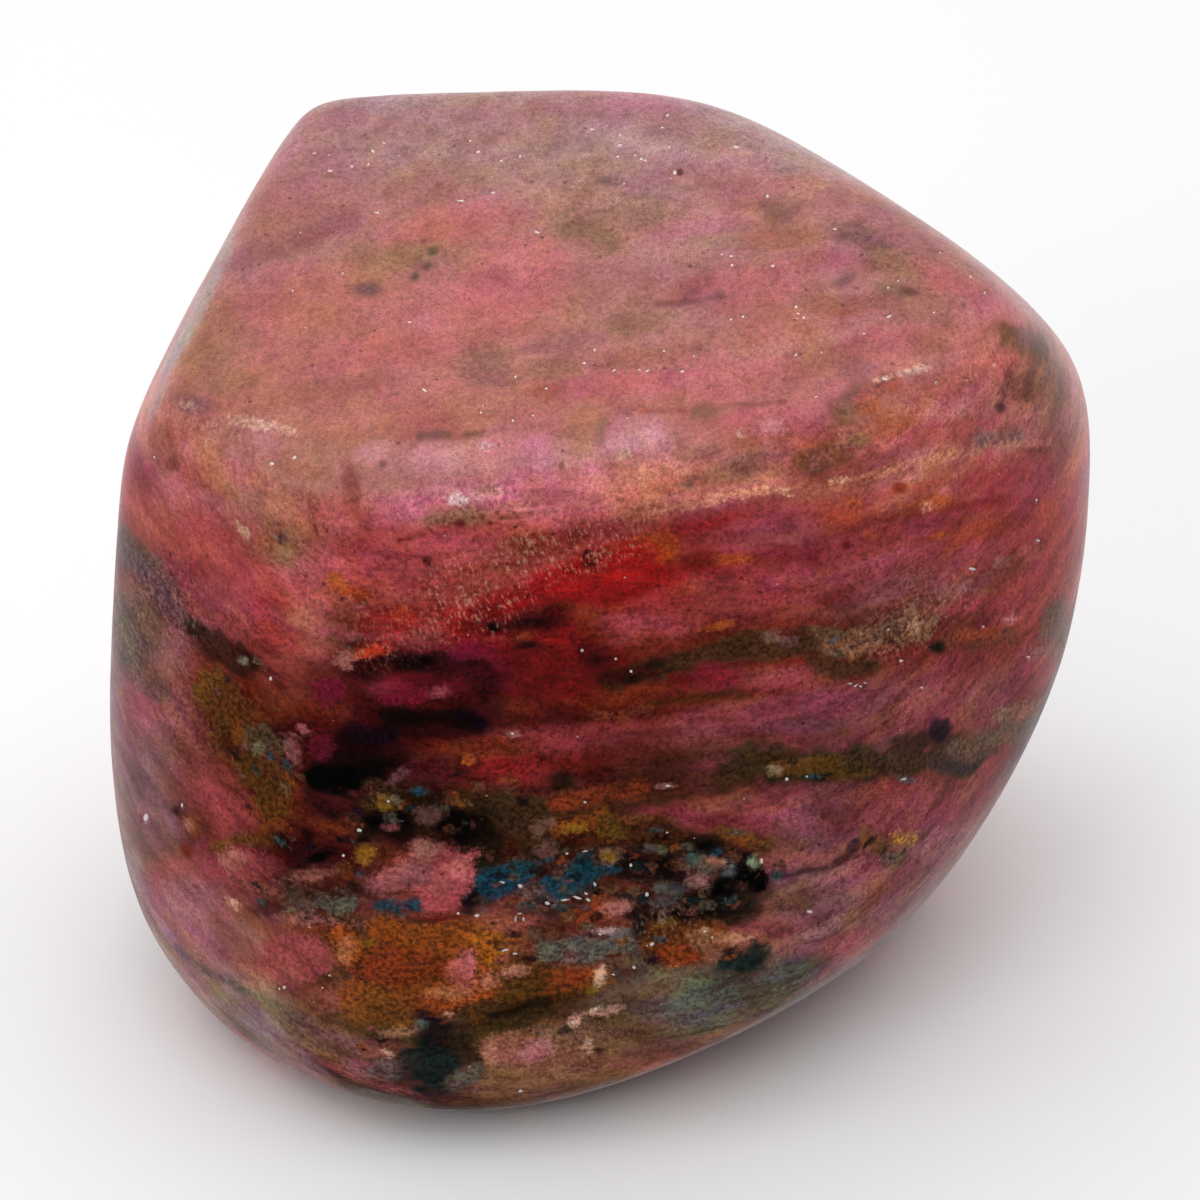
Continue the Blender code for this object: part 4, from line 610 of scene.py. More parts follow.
def refine(bm, spots, radii):
    """Split every edge that comes within a radius (mm) of one of the spots."""
    bm.verts.ensure_lookup_table()
    u = np.array([v.co[:] for v in bm.verts])
    u /= np.linalg.norm(u, axis=1)[:, None]
    p = u * skin_radius(u)[:, None] + HEART
    near = np.zeros(len(p), bool)
    for s, r in zip(spots, radii):
        near |= ((p - s) ** 2).sum(axis=1) < r * r
    bm.verts.index_update()
    edges = [e for e in bm.edges if near[e.verts[0].index] or near[e.verts[1].index]]
    bmesh.ops.subdivide_edges(bm, edges=edges, cuts=1, use_grid_fill=True)


chip_px = np.array([(x, y) for x, y, *_ in CHIP_GLINTS], float)
chip_at = to_skin(chip_px[:, 0], chip_px[:, 1])
chip_len = np.array([max(c[2], c[3]) for c in CHIP_GLINTS]) * PX

bm = sphere_directions(SIDE, CROWD)
refine(bm, chip_at, chip_len + 0.30)
refine(bm, chip_at, chip_len + 0.12)
bmesh.ops.recalc_face_normals(bm, faces=list(bm.faces))
unit = np.array([v.co[:] for v in bm.verts])
unit /= np.linalg.norm(unit, axis=1)[:, None]
skin = unit * skin_radius(unit)[:, None]
on_base = skin[:, 2] < -HEART[2] + 1e-6
skin = skin + HEART
normal = skin_normal(skin)
view_px = to_view(skin)
to_eye = EYE - skin
to_eye /= np.linalg.norm(to_eye, axis=1)[:, None]
facing = (normal * to_eye).sum(axis=1)


def smooth(a, b, x):
    t = np.clip((x - a) / (b - a), 0, 1)
    return t * t * (3 - 2 * t)


seen = smooth(0.0, 0.16, facing)          # 1 where the camera sees the stone

# Every patch edge wanders: two sizes of noise, in both directions of the view.
slow = np.stack([fbm(bed(skin, 7.0, 3.2), 11), fbm(bed(skin, 7.0, 3.2), 23)], axis=1)
quick = np.stack([fbm(bed(skin, 1.9, 1.0), 37), fbm(bed(skin, 1.9, 1.0), 53)], axis=1)


def wandered(width):
    return view_px + slow * min(0.55 * width, 12.0) + quick * min(0.40 * width, 5.0)


def ellipse(x, y, rx, ry, turn):
    """Distance from a patch's middle, 1 at its edge, and its reach in depth."""
    q = wandered(ry)
    a = math.radians(turn)
    dx, dy = q[:, 0] - x, y - q[:, 1]
    along = (dx * math.cos(a) + dy * math.sin(a)) / rx
    across = (dy * math.cos(a) - dx * math.sin(a)) / ry
    middle = to_skin(x, y)[0]
    reach = max(rx, ry) * PX
    off = np.linalg.norm(skin - middle, axis=1)
    return np.sqrt(along ** 2 + across ** 2), 1 - smooth(1.35 * reach, 2.3 * reach + 2.5, off)


def ribbon(width, path):
    """Distance from a line of points, 1 at the ribbon's edge, and its reach."""
    q = wandered(width)
    ends = to_skin([p[0] for p in path], [p[1] for p in path])
    near, off = np.full(len(q), 1e9), np.full(len(q), 1e9)
    for i in range(len(path) - 1):
        a, b = np.array(path[i], float), np.array(path[i + 1], float)
        ab = b - a
        t = np.clip(((q - a) @ ab) / (ab @ ab), 0, 1)
        near = np.minimum(near, np.linalg.norm(q - a - t[:, None] * ab, axis=1))
        a3, b3 = ends[i], ends[i + 1]
        ab3 = b3 - a3
        t3 = np.clip(((skin - a3) @ ab3) / max(ab3 @ ab3, 1e-9), 0, 1)
        off = np.minimum(off, np.linalg.norm(skin - a3 - t3[:, None] * ab3, axis=1))
    reach = width * PX
    return near / width, 1 - smooth(1.6 * reach + 0.4, 3.0 * reach + 2.5, off)


# ------------------------------------------------------------------ soft clouds
def strata(table, level):
    """Colours by height in the bed, blended from a table of (height, colour)."""
    heights = [h for h, _ in table]
    colours = np.array([C[name] for _, name in table])
    return np.stack([np.interp(level, heights, colours[:, k]) for k in range(3)], axis=1)


# The bed from bottom to top, for the hidden side: millimetres along the
# bedding direction.
BED = [
    (-16, "ashrose"), (-9, "clay"), (-4, "khaki"), (0, "saddle"), (4, "duskpink"), (8, "ashrose"), (12, "saddle"),
    (16, "cocoa"), (19, "rosewood"), (23, "garnet"), (27, "oxblood"), (31, "garnet"), (34, "wine"), (38, "brickrose"),
    (42, "duskpink"), (46, "salmon"), (52, "dusty"), (60, "dusty"), (68, "rose"),
]
level = skin @ BEDDING
wave = 3.0 * fbm(bed(skin, 16.0, 9.0), 71) + 1.3 * fbm(bed(skin, 5.0, 2.5), 73)
base = strata(BED, level + wave)
drift = smooth(0.05, 0.5, fbm(bed(skin, 8.0, 2.6), 83, 4))[:, None]
base = base * (1 - 0.55 * drift) + 0.55 * drift * np.array(C["clay"])
drift = smooth(0.08, 0.5, fbm(bed(skin, 7.0, 2.4), 89, 4))[:, None]
base = base * (1 - 0.6 * drift) + 0.6 * drift * np.array(C["rose"])

# The camera's side: clouds painted one over another.
front = base.copy()
for name, x, y, rx, ry, turn, strength in WASH:
    d, reach = ellipse(x, y, rx, ry, turn)
    if rx > 250:
        reach = 1.0
    a = (strength * reach * (1 - smooth(0.45, 1.35, d)))[:, None]
    front = front * (1 - a) + a * np.array(C[name])
base = base * (1 - seen[:, None]) + front * seen[:, None]

# Mottle: lighter and darker, yellower and bluer, along the bedding.
# depth is 1 on the front and sides, which turn from the top light, and 0 on the top; it sets the painted shade of
# front_shade, the denser dark grains of pepper and the stronger mottle there.
depth = smooth(0.75, 0.25, normal[:, 2])
light_dark = 0.30 * fbm(bed(skin, 4.4, 1.5), 197, 4) + 0.16 * fbm(bed(skin, 1.6, 0.7), 199, 2)
warm_cool = fbm(bed(skin, 4.4, 1.7), 211, 4) + 0.5 * fbm(bed(skin, 1.4, 0.9), 223, 2)
mottle = np.exp((light_dark * (0.45 + 0.85 * depth))[:, None] * np.array((1.0, 1.25, 1.25)) + (warm_cool * (0.8 + 0.9 * depth))[:, None] * np.array((0.02, 0.12, -0.22)))
# Painted reflection: the rims at the lower right, the lower left and the bottom take a pale sheen, which lifts the
# painted shade there; the hidden side takes 0.4 of it.
rim_sheen = np.maximum(smooth(640, 760, view_px[:, 0]) * smooth(800, 900, view_px[:, 1]), smooth(240, 165, view_px[:, 0]) * smooth(560, 760, view_px[:, 1]))
rim_sheen = np.maximum(rim_sheen, smooth(960, 1040, view_px[:, 1])) * seen + 0.4 * (1 - seen)
# Painted shade: the front and sides are darker and deeper, most of all low on the left half of the front.
front_shade = 1 - (depth * (1 - 0.75 * rim_sheen))[:, None] * (np.array((0.02, 0.30, 0.32)) + (smooth(45, 20, skin[:, 2]) * smooth(700, 560, view_px[:, 0]) * smooth(150, 260, view_px[:, 0]) * seen)[:, None] * np.array((0.12, 0.08, 0.12)))        # the front is the deeper colour
base = base * mottle * front_shade

# Stains and painted highlights: broad clouds that deepen or lighten the rock and its minerals alike; the lightening on
# the ridge is painted highlight.
stain_and_highlight = np.ones((len(skin), 3))
for x, y, rx, ry, turn, change in STAINS_AND_HIGHLIGHTS:
    d, reach = ellipse(x, y, rx, ry, turn)
    stain_and_highlight *= 1 + (reach * (1 - smooth(0.45, 1.35, d)) * seen)[:, None] * (np.array(change) - 1)
base = base * stain_and_highlight

# -------------------------------------------------------------- crisp minerals
SPAN = 14.0                      # half range of the edge field, in view pixels


class Ink:
    """A layer of minerals with grainy edges: colour, opacity and edge field."""

    def __init__(self):
        self.edge = np.full(len(skin), -SPAN)
        self.colour = np.tile(np.array(C["darkolive"] + (0.9,)), (len(skin), 1))

    def lay(self, name, opacity, d, reach, width):
        s = (1 - d) * min(max(0.8 * width, 6.0), SPAN)
        s = s * reach - SPAN * (1 - reach)
        s = np.where(facing > -0.05, s, -SPAN)
        paint = np.array(C[name] + (opacity,))
        over = smooth(-3.5, 3.0, s)[:, None]
        over = np.where((s > self.edge)[:, None], np.maximum(over, 0.6), over)
        over = np.where((self.edge < -6.0)[:, None] & (s > self.edge)[:, None], 1.0, over)
        self.colour = self.colour * (1 - over) + over * paint
        self.edge = np.maximum(self.edge, s)

    def hidden(self, layers):
        """Lenses along the bedding where the camera doesn't see."""
        edge = np.full(len(skin), -SPAN)
        colour = self.colour.copy()
        for name, low, high, density, along, across, seed in layers:
            window = smooth(low - 3, low + 3, level + wave) * (1 - smooth(high - 3, high + 3, level + wave))
            field = fbm(bed(skin, along, across), seed, 4)
            s = (field - 0.9 + density * window) * 30.0
            win = s > edge
            colour[win] = np.array(C[name] + (0.88,))
            edge = np.maximum(edge, s)
        edge = np.clip(edge, -SPAN, SPAN)
        back = 1 - seen
        self.edge = np.maximum(self.edge - 2 * SPAN * back, edge - 2 * SPAN * seen)
        self.colour = np.where((back > 0.5)[:, None], colour, self.colour)
        # the inks take the square root of the mottle and of the painted front shade, and the stains and painted
        # highlights in full
        self.colour[:, :3] *= np.sqrt(mottle) * np.sqrt(front_shade) * stain_and_highlight


bands, spots = Ink(), Ink()
for name, width, path, opacity in BANDS:
    d, reach = ribbon(width, path)
    bands.lay(name, opacity, d, reach, width)
for name, x, y, rx, ry, turn, opacity in SPOTS:
    d, reach = ellipse(x, y, rx, ry, turn)
    spots.lay(name, opacity, d, reach, ry)
bands.hidden([
    ("deepteal", -18, -3, 0.75, 6.0, 2.4, 101), ("greenblack", -6, 6, 0.72, 7.0, 2.2, 103), ("amber", 8, 17, 0.75, 5.0, 2.0, 107),
    ("teal", 10, 18, 0.6, 3.5, 1.6, 109), ("greenblack", 14, 22, 0.72, 6.0, 1.9, 113), ("darkolive", 24, 30, 0.7, 7.0, 1.7, 127),
    ("olivebrown", 34, 44, 0.55, 6.0, 2.0, 131), ("khaki", 44, 70, 0.5, 5.0, 2.0, 137),
])
spots.hidden([
    ("rose", -20, 24, 0.55, 3.5, 1.5, 151), ("clay", -10, 20, 0.48, 2.5, 1.2, 157), ("black", -4, 26, 0.46, 2.4, 1.0, 163),
    ("fire", 8, 40, 0.42, 2.6, 1.1, 167), ("cherry", 26, 38, 0.55, 4.0, 1.6, 173), ("palepink", 30, 60, 0.46, 4.0, 1.2, 179),
    ("maroon", 30, 66, 0.42, 1.6, 0.8, 181),
])

# The palette is written as the minerals look on the lit stone. The studio
# lights the top more than the sides and lays a veil of gloss on it.
gain = 0.78 + 0.31 * smooth(0.05, 0.90, normal[:, 2]) - 0.10 * normal[:, 0] * smooth(0.5, 0.1, normal[:, 2]) - 0.08 * smooth(0.0, 0.5, -normal[:, 2])
veil = 0.005 + 0.029 * smooth(0.30, 0.70, normal[:, 2])


def unlit(colour):
    return np.clip((colour - veil[:, None]) / gain[:, None], 0.0008, 0.95)


base = unlit(base)
bands.colour[:, :3] = unlit(bands.colour[:, :3])
spots.colour[:, :3] = unlit(spots.colour[:, :3])

# --------------------------------------------------- bristles, chips and waviness
bristle = 0.30 * (1 - seen)
for x, y, rx, ry, turn, strength in BRISTLES:
    d, reach = ellipse(x, y, rx, ry, turn)
    bristle = np.maximum(bristle, strength * reach * (1 - smooth(0.5, 1.2, d)) * seen)

pepper = 0.08 + 0.34 * depth * (1 - 0.5 * smooth(620, 480, view_px[:, 1]) * seen)
pepper = pepper * (1 - 0.75 * smooth(-0.20, -0.70, normal[:, 0]))
for x, y, rx, ry, turn, strength in PEPPER:
    d, reach = ellipse(x, y, rx, ry, turn)
    pepper = np.maximum(pepper, 0.72 * strength * reach * (1 - smooth(0.5, 1.2, d)) * seen)
clutter = 0.35 * (1 - seen) * smooth(6, 12, level + wave) * smooth(22, 16, level + wave)
for x, y, rx, ry, turn, strength in CLUTTER:
    d, reach = ellipse(x, y, rx, ry, turn)
    clutter = np.maximum(clutter, strength * reach * (1 - smooth(0.55, 1.15, d)) * seen)

# chip_glint marks the painted white glint of each chip; sink digs the real pit
chip_glint = np.full(len(skin), -3.0)
sink = np.zeros(len(skin))
for (x, y, rx, ry, turn), at, size in zip(CHIP_GLINTS, chip_at, chip_len):
    near = ((skin - at) ** 2).sum(axis=1) < (size + 0.6) ** 2
    q = view_px[near] + quick[near] * 0.8
    a = math.radians(-turn)
    dx, dy = q[:, 0] - x, y - q[:, 1]
    d = np.sqrt(((dx * math.cos(a) + dy * math.sin(a)) / rx) ** 2 + ((dy * math.cos(a) - dx * math.sin(a)) / ry) ** 2)
    chip_glint[near] = np.maximum(chip_glint[near], (0.60 - d) * min(ry, 2.4))
    sink[near] = np.maximum(sink[near], (0.05 + 0.028 * ry) * (1 - smooth(0.2, 1.25, d)))

swell = 0.055 * fbm(skin / 10.0, 191, 2) + 0.012 * fbm(skin / 3.0, 193, 2)
swell = np.where(on_base, 0.0, swell * smooth(0.0, 4.0, skin[:, 2]))
rock = skin.copy()
skin = skin + normal * (swell - sink)[:, None]
skin[on_base, 2] = 0.0
skin[:, 2] = np.maximum(skin[:, 2], 0.0)

for v, co in zip(bm.verts, skin * MM):
    v.co = co
mesh = bpy.data.meshes.new("rhodonite_skin")
bm.to_mesh(mesh)
bm.free()
mesh.shade_smooth()
stone = bpy.data.objects.new("rhodonite_skin", mesh)
bpy.context.scene.collection.objects.link(stone)


def paint(name, values):
    layer = mesh.color_attributes.new(name, "FLOAT_COLOR", "POINT")
    layer.data.foreach_set("color", np.ascontiguousarray(values, dtype=np.float32).ravel())


paint("ground", np.hstack([base, pepper[:, None]]))
paint("band", bands.colour)
paint("spot", spots.colour)
unit_edge = lambda s: np.clip(0.5 + s / (2 * SPAN), 0, 1)
paint("edges", np.stack([unit_edge(bands.edge), unit_edge(spots.edge), np.clip(0.5 + chip_glint / 6.0, 0, 1), bristle], axis=1))
zones = mesh.attributes.new("clutter", "FLOAT", "POINT")
zones.data.foreach_set("value", np.ascontiguousarray(clutter, dtype=np.float32))
# Position in the rock, bent a little so that no streak is straight.
bent = bed(rock, 1.0, 1.0) + np.stack([0.5 * fbm(bed(rock, 7.0, 4.0), 227, 2), 0.5 * fbm(bed(rock, 7.0, 4.0), 229, 2), 0.6 * fbm(bed(rock, 7.0, 4.0), 233, 2)], axis=1)
layer = mesh.attributes.new("rock", "FLOAT_VECTOR", "POINT")
layer.data.foreach_set("vector", np.ascontiguousarray(bent, dtype=np.float32).ravel())
print("triangles", sum(len(p.vertices) - 2 for p in mesh.polygons), "points", len(skin))

# ================================================================== the polish
class Nodes:
    """Small helper that adds and links shader nodes."""

    def __init__(self, tree):
        self.tree = tree

    def add(self, kind, **settings):
        node = self.tree.nodes.new(kind)
        for key, value in settings.items():
            setattr(node, key, value)
        return node

    def put(self, socket, value):
        if isinstance(value, bpy.types.NodeSocket):
            self.tree.links.new(value, socket)
        else:
            socket.default_value = value

    def math(self, operation, a, b=0.0, clamp=False):
        node = self.add("ShaderNodeMath", operation=operation, use_clamp=clamp)
        self.put(node.inputs[0], a)
        self.put(node.inputs[1], b)
        return node.outputs[0]

    def centred(self, value, amount):
        return self.math("MULTIPLY", self.math("SUBTRACT", value, 0.5), amount)

    def ramp(self, value, low, high, to_low=0.0, to_high=1.0):
        node = self.add("ShaderNodeMapRange", interpolation_type="SMOOTHSTEP")
        for socket, v in zip(node.inputs[:5], (value, low, high, to_low, to_high)):
            self.put(socket, v)
        return node.outputs[0]

    def line(self, value, low, high, to_low=0.0, to_high=1.0):
        node = self.add("ShaderNodeMapRange")
        for socket, v in zip(node.inputs[:5], (value, low, high, to_low, to_high)):
            self.put(socket, v)
        return node.outputs[0]

    def mix(self, factor, a, b, blend="MIX"):
        node = self.add("ShaderNodeMix", data_type="RGBA", blend_type=blend)
        self.put(node.inputs[0], factor)
        self.put(node.inputs[6], a if isinstance(a, bpy.types.NodeSocket) else tuple(a) + (1.0,))
        self.put(node.inputs[7], b if isinstance(b, bpy.types.NodeSocket) else tuple(b) + (1.0,))
        return node.outputs[2]

    def scaled(self, vector, by):
        node = self.add("ShaderNodeVectorMath", operation="MULTIPLY")
        self.put(node.inputs[0], vector)
        self.put(node.inputs[1], by)
        return node.outputs[0]

    def plus(self, a, b):
        node = self.add("ShaderNodeVectorMath", operation="ADD")
        self.put(node.inputs[0], a)
        self.put(node.inputs[1], b)
        return node.outputs[0]

    def dot(self, vector, axis):
        node = self.add("ShaderNodeVectorMath", operation="DOT_PRODUCT")
        self.put(node.inputs[0], vector)
        self.put(node.inputs[1], tuple(axis))
        return node.outputs["Value"]

    def noise(self, vector, scale=1.0, detail=2.0, rough=0.5, colour=False):
        node = self.add("ShaderNodeTexNoise")
        self.put(node.inputs["Vector"], vector)
        self.put(node.inputs["Scale"], scale)
        self.put(node.inputs["Detail"], detail)
        self.put(node.inputs["Roughness"], rough)
        return node.outputs["Color"] if colour else node.outputs[0]

    def cells(self, vector, scale=1.0):
        node = self.add("ShaderNodeTexVoronoi")
        self.put(node.inputs["Vector"], vector)
        self.put(node.inputs["Scale"], scale)
        return node

    def split(self, colour):
        node = self.add("ShaderNodeSeparateColor")
        self.put(node.inputs[0], colour)
        return node.outputs

    def attribute(self, name):
        return self.add("ShaderNodeAttribute", attribute_name=name)


mat = bpy.data.materials.new("polished_rhodonite")
mat.use_nodes = True
tree = mat.node_tree
bsdf = tree.nodes["Principled BSDF"]
n = Nodes(tree)

rock_at = n.attribute("rock").outputs["Vector"]                                        # mm, along the bedding
flat_at = n.scaled(rock_at, (0.55, 0.55, 1.0))
place = n.scaled(n.add("ShaderNodeTexCoord").outputs["Object"], (1000.0, 1000.0, 1000.0))     # mm
ground_attr, band_attr, spot_attr, edge_attr = (n.attribute(a) for a in ("ground", "band", "spot", "edges"))
band_edge, spot_edge, chip_glint_edge = n.split(edge_attr.outputs["Color"])[:3]
bristle_zone = edge_attr.outputs["Alpha"]

# the sizes of grain: streaky patches, sugar grains and dust
patches = n.split(n.noise(flat_at, 0.95, 3.0, 0.62, colour=True))
sugar = n.noise(place, 2.7, 2.0, 0.65)
dust = n.noise(place, 6.8, 1.0, 0.6)

# the pink ground
colour = ground_attr.outputs["Color"]
colour = n.mix(n.ramp(patches[0], 0.50, 0.64, 0.0, 0.38), colour, n.mix(1.0, colour, (1.22, 1.34, 1.36), "MULTIPLY"))
colour = n.mix(n.ramp(patches[0], 0.50, 0.36, 0.0, 0.48), colour, n.mix(1.0, colour, (0.72, 0.60, 0.60), "MULTIPLY"))
colour = n.mix(n.ramp(patches[1], 0.52, 0.66, 0.0, 0.45), colour, n.mix(1.0, colour, (0.94, 1.02, 0.74), "MULTIPLY"))
colour = n.mix(n.ramp(patches[1], 0.48, 0.36, 0.0, 0.35), colour, n.mix(1.0, colour, (1.02, 0.82, 0.98), "MULTIPLY"))

# thin streaks along the bedding, where the ground is busy
streaks = n.split(n.noise(n.scaled(rock_at, (0.26, 0.26, 1.15)), 1.0, 2.0, 0.55, colour=True))
busy = n.ramp(ground_attr.outputs["Alpha"], 0.15, 0.45, 0.35, 1.0)
colour = n.mix(n.math("MULTIPLY", n.ramp(streaks[0], 0.50, 0.38), n.math("MULTIPLY", busy, 0.55)), colour, n.mix(1.0, colour, (0.58, 0.44, 0.46), "MULTIPLY"))
colour = n.mix(n.math("MULTIPLY", n.ramp(streaks[1], 0.50, 0.62), n.math("MULTIPLY", busy, 0.42)), colour, n.mix(1.0, colour, (1.20, 1.10, 0.66), "MULTIPLY"))
colour = n.mix(n.math("MULTIPLY", n.ramp(streaks[1], 0.50, 0.38), n.math("MULTIPLY", busy, 0.42)), colour, n.mix(1.0, colour, (1.12, 0.78, 1.02), "MULTIPLY"))

# dark grains among the pink ones
grit = n.math("ADD", n.math("MULTIPLY", sugar, 0.62), n.math("MULTIPLY", patches[2], 0.38))
pepper = n.math("MULTIPLY", n.ramp(grit, 0.53, 0.41), ground_attr.outputs["Alpha"])
colour = n.mix(pepper, colour, n.mix(1.0, colour, (0.36, 0.24, 0.26), "MULTIPLY"))

# minerals with an edge: the edge field is roughened, then cut softly
rag = n.math("ADD", n.centred(patches[2], 0.85), n.math("ADD", n.centred(sugar, 0.42), n.centred(dust, 0.20)))
band_alpha = n.math("MULTIPLY", n.ramp(n.math("ADD", band_edge, rag), 0.34, 0.66), band_attr.outputs["Alpha"])
tone = n.mix(n.ramp(sugar, 0.34, 0.66), (0.58, 0.55, 0.58), (1.22, 1.18, 1.14))
tone = n.mix(n.ramp(grit, 0.50, 0.38, 0.0, 0.34), tone, (0.30, 0.24, 0.24))
tone = n.mix(n.ramp(patches[1], 0.40, 0.62, 0.0, 0.7), tone, n.mix(1.0, tone, (1.5, 1.15, 0.8), "MULTIPLY"))
colour = n.mix(band_alpha, colour, n.mix(1.0, band_attr.outputs["Color"], tone, "MULTIPLY"))
# a jumble of small grains of many minerals where the beds are broken
nudge = n.add("ShaderNodeVectorMath", operation="SUBTRACT")
n.put(nudge.inputs[0], n.scaled(n.noise(place, 1.6, 1.0, 0.5, colour=True), (0.9, 0.9, 0.9)))
n.put(nudge.inputs[1], (0.45, 0.45, 0.45))
clast = n.cells(n.plus(n.scaled(rock_at, (0.75, 0.75, 1.1)), nudge.outputs[0]), 1.05)
pick = n.split(clast.outputs["Color"])
ramp = n.add("ShaderNodeValToRGB")
ramp.color_ramp.interpolation = "CONSTANT"
while len(ramp.color_ramp.elements) < len(CLASTS):
    ramp.color_ramp.elements.new(0.5)
for k, (element, name) in enumerate(zip(ramp.color_ramp.elements, CLASTS)):
    element.position = k / len(CLASTS)
    element.color = C[name] + (1.0,)
n.put(ramp.inputs[0], pick[0])
zone = n.add("ShaderNodeAttribute", attribute_name="clutter").outputs["Fac"]
clast_alpha = n.math("MULTIPLY", n.ramp(clast.outputs["Distance"], 0.70, 0.30), n.ramp(n.math("SUBTRACT", n.math("MULTIPLY", zone, 1.15), pick[1]), 0.0, 0.12))
colour = n.mix(n.math("MULTIPLY", clast_alpha, 0.75), colour, n.mix(1.0, ramp.outputs[0], n.mix(n.ramp(sugar, 0.34, 0.66), (0.55, 0.52, 0.54), (1.35, 1.32, 1.30)), "MULTIPLY"))

rag = n.math("ADD", n.centred(patches[1], 0.30), n.math("ADD", n.centred(sugar, 0.24), n.centred(dust, 0.12)))
spot_alpha = n.math("MULTIPLY", n.ramp(n.math("ADD", spot_edge, rag), 0.40, 0.62), spot_attr.outputs["Alpha"])
colour = n.mix(spot_alpha, colour, n.mix(1.0, spot_attr.outputs["Color"], n.mix(n.ramp(n.math("ADD", n.math("MULTIPLY", sugar, 0.5), n.math("MULTIPLY", patches[0], 0.5)), 0.38, 0.62), (0.66, 0.56, 0.58), (1.08, 1.08, 1.08)), "MULTIPLY"))

# sugar grains and dust show as small differences in brightness
shade = n.math("ADD", n.math("ADD", n.centred(sugar, 0.50), n.centred(dust, 0.55)), 0.51)
colour = n.mix(1.0, colour, n.mix(shade, (0, 0, 0), (2, 2, 2)), "MULTIPLY")

# bristles: short pale and dark strokes that lean to the left
lean = n.add("ShaderNodeCombineXYZ")
for k, axis in enumerate(((0.95, 0.0, 0.30), (0.0, 1.0, 0.0), (-0.30, 0.0, 0.95))):
    n.put(lean.inputs[k], n.dot(place, axis))
stroke = n.noise(n.scaled(lean.outputs[0], (4.6, 1.5, 1.7)), 1.0, 2.0, 0.7)
stroke = n.math("ADD", stroke, n.math("ADD", n.centred(sugar, 0.30), n.centred(patches[1], 0.35)))
colour = n.mix(n.math("MULTIPLY", n.ramp(stroke, 0.52, 0.74, 0.0, 0.50), bristle_zone), colour, C["cream"])
colour = n.mix(n.math("MULTIPLY", n.ramp(stroke, 0.47, 0.30, 0.0, 0.45), bristle_zone), colour, n.mix(1.0, colour, (0.55, 0.45, 0.45), "MULTIPLY"))

# chips and pinholes: painted glints, white where they catch the light, and dark specks
chip_glint_mask = n.ramp(n.math("ADD", chip_glint_edge, n.centred(dust, 0.20)), 0.47, 0.56)
pin = n.cells(rock_at, 0.8)
pin_pick = n.split(pin.outputs["Color"])[0]
pin_glint_mask = n.math("MULTIPLY", n.ramp(pin.outputs["Distance"], 0.080, 0.05), n.ramp(pin_pick, 0.90, 0.92))
dark_speck = n.math("MULTIPLY", n.ramp(n.math("ADD", pin.outputs["Distance"], n.centred(dust, 0.10)), 0.16, 0.10), n.ramp(pin_pick, 0.26, 0.22))
colour = n.mix(n.math("MULTIPLY", dark_speck, 0.60), colour, n.mix(1.0, colour, (0.22, 0.14, 0.16), "MULTIPLY"))
painted_glint_mask = n.math("MAXIMUM", chip_glint_mask, n.math("MULTIPLY", pin_glint_mask, 0.40))
colour = n.mix(n.math("MULTIPLY", painted_glint_mask, 0.84), colour, (0.84, 0.78, 0.76))
n.put(bsdf.inputs["Base Color"], colour)

rough = n.line(patches[2], 0.3, 0.7, 0.25, 0.37)
rough = n.math("ADD", rough, n.math("MULTIPLY", painted_glint_mask, 0.30), clamp=True)
n.put(bsdf.inputs["Roughness"], rough)
bsdf.inputs["Specular IOR Level"].default_value = 0.25
bsdf.inputs["IOR"].default_value = 1.5

bump = n.add("ShaderNodeBump")
bump.inputs["Strength"].default_value = 0.25
bump.inputs["Distance"].default_value = 0.00005
n.put(bump.inputs["Height"], n.math("ADD", sugar, n.math("MULTIPLY", dust, 0.5)))
n.put(bsdf.inputs["Normal"], bump.outputs[0])
mesh.materials.append(mat)

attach(stone, "root")
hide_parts("rhodonite_stone")

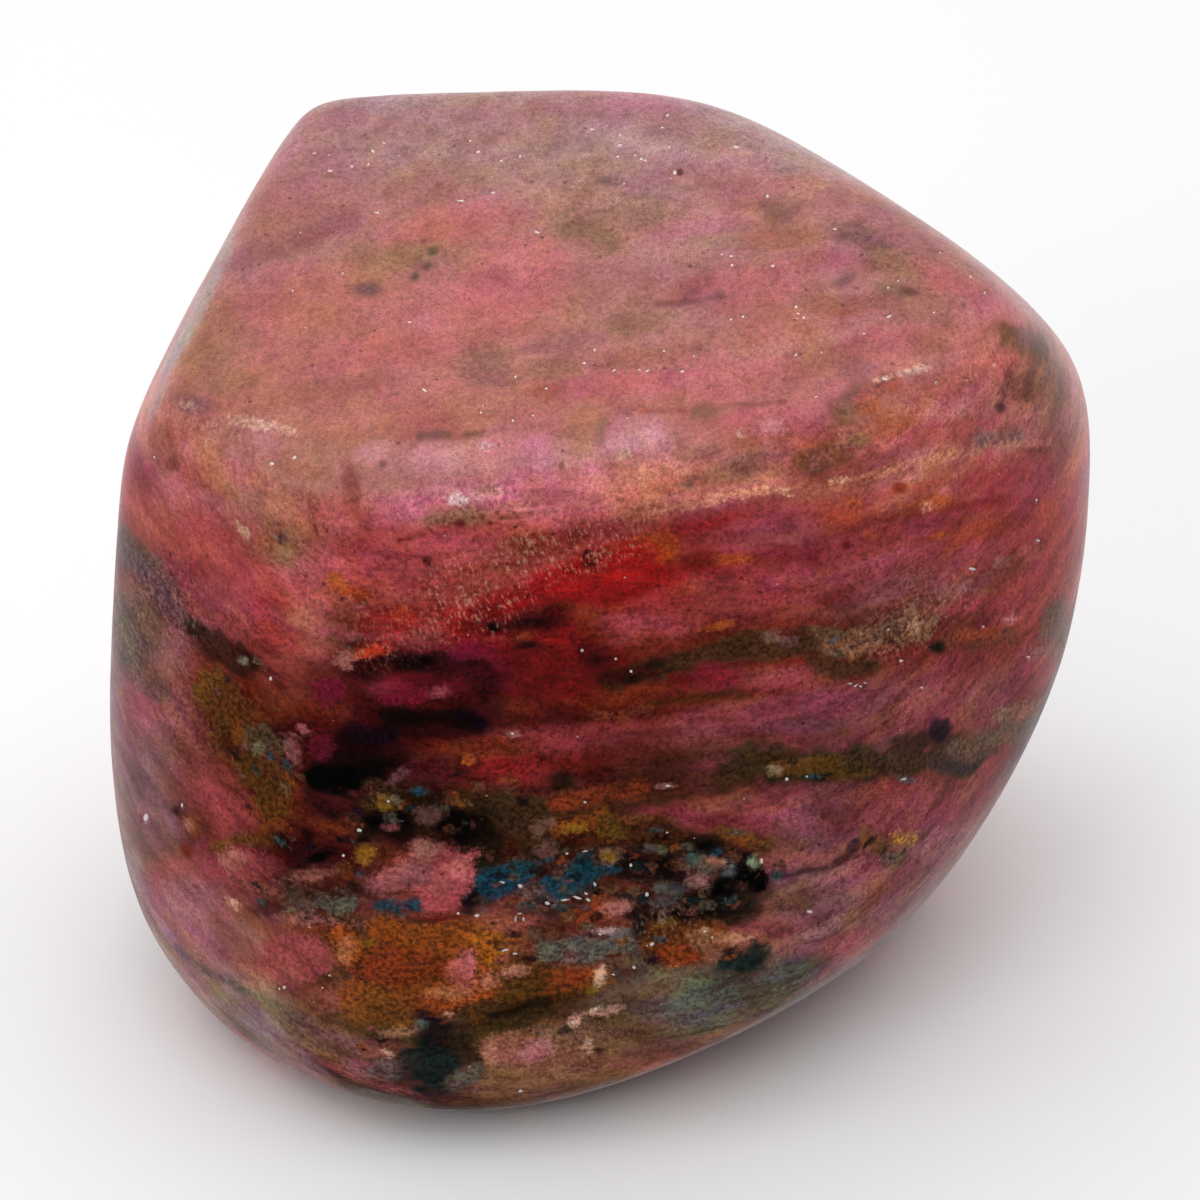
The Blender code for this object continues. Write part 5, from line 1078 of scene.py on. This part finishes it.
# ============================================== floor, light, world and camera
floor_mesh = bpy.data.meshes.new("floor")
floor_mesh.from_pydata([(-4, -4, -0.0002), (4, -4, -0.0002), (4, 4, -0.0002), (-4, 4, -0.0002)], [], [(0, 1, 2, 3)])
floor = bpy.data.objects.new("floor", floor_mesh)
bpy.context.scene.collection.objects.link(floor)
fmat = bpy.data.materials.new("pale_floor")
fmat.use_nodes = True
f = Nodes(fmat.node_tree)
fb = fmat.node_tree.nodes["Principled BSDF"]
mild = f.noise(f.scaled(f.add("ShaderNodeTexCoord").outputs["Object"], (900.0, 900.0, 900.0)), 0.02, 2.0)
f.put(fb.inputs["Base Color"], f.mix(mild, (0.86, 0.86, 0.86), (0.88, 0.88, 0.875)))
fb.inputs["Roughness"].default_value = 0.9
fb.inputs["Specular IOR Level"].default_value = 0.1
floor_mesh.materials.append(fmat)
floor.visible_glossy = False


def softbox(name, place, size, watts, target=(0.0, 0.0, 0.035)):
    light = bpy.data.lights.new(name, "AREA")
    light.shape = "RECTANGLE"
    light.size, light.size_y = size
    light.energy = watts
    obj = bpy.data.objects.new(name, light)
    bpy.context.scene.collection.objects.link(obj)
    obj.location = place
    obj.rotation_euler = (Vector(target) - Vector(place)).to_track_quat("-Z", "Y").to_euler()
    return obj


softbox("overhead", (-0.06, -0.08, 0.72), (0.80, 0.60), 1.5)
softbox("front_left", (-0.55, -0.60, 0.50), (0.40, 0.40), 2.0)

# A studio room: bright sweep behind and above, dark side where the camera
# stands. Seen directly, the backdrop is plain and pale.
world = bpy.data.worlds.new("studio")
bpy.context.scene.world = world
world.use_nodes = True
w = Nodes(world.node_tree)
back = world.node_tree.nodes["Background"]
aim_of_ray = w.add("ShaderNodeTexCoord").outputs["Generated"]
behind = w.ramp(w.dot(aim_of_ray, (0.0, 0.80, 0.60)), -0.50, 0.60)
room = w.mix(behind, (0.025, 0.025, 0.028), (1.12, 1.12, 1.14))
w.put(back.inputs["Color"], w.mix(w.add("ShaderNodeLightPath").outputs["Is Camera Ray"], room, (0.90, 0.90, 0.90)))
back.inputs["Strength"].default_value = 1.0

cam = bpy.data.cameras.new("camera")
cam.lens, cam.sensor_width, cam.sensor_fit = LENS, SENSOR, "HORIZONTAL"
cam.clip_start, cam.clip_end = 0.01, 20.0
camera = bpy.data.objects.new("camera", cam)
bpy.context.scene.collection.objects.link(camera)
camera.location = Vector(EYE * MM)
camera.rotation_euler = (Vector(AIM * MM) - Vector(EYE * MM)).to_track_quat("-Z", "Y").to_euler()
bpy.context.scene.camera = camera
bpy.context.scene.view_settings.view_transform = "Standard"
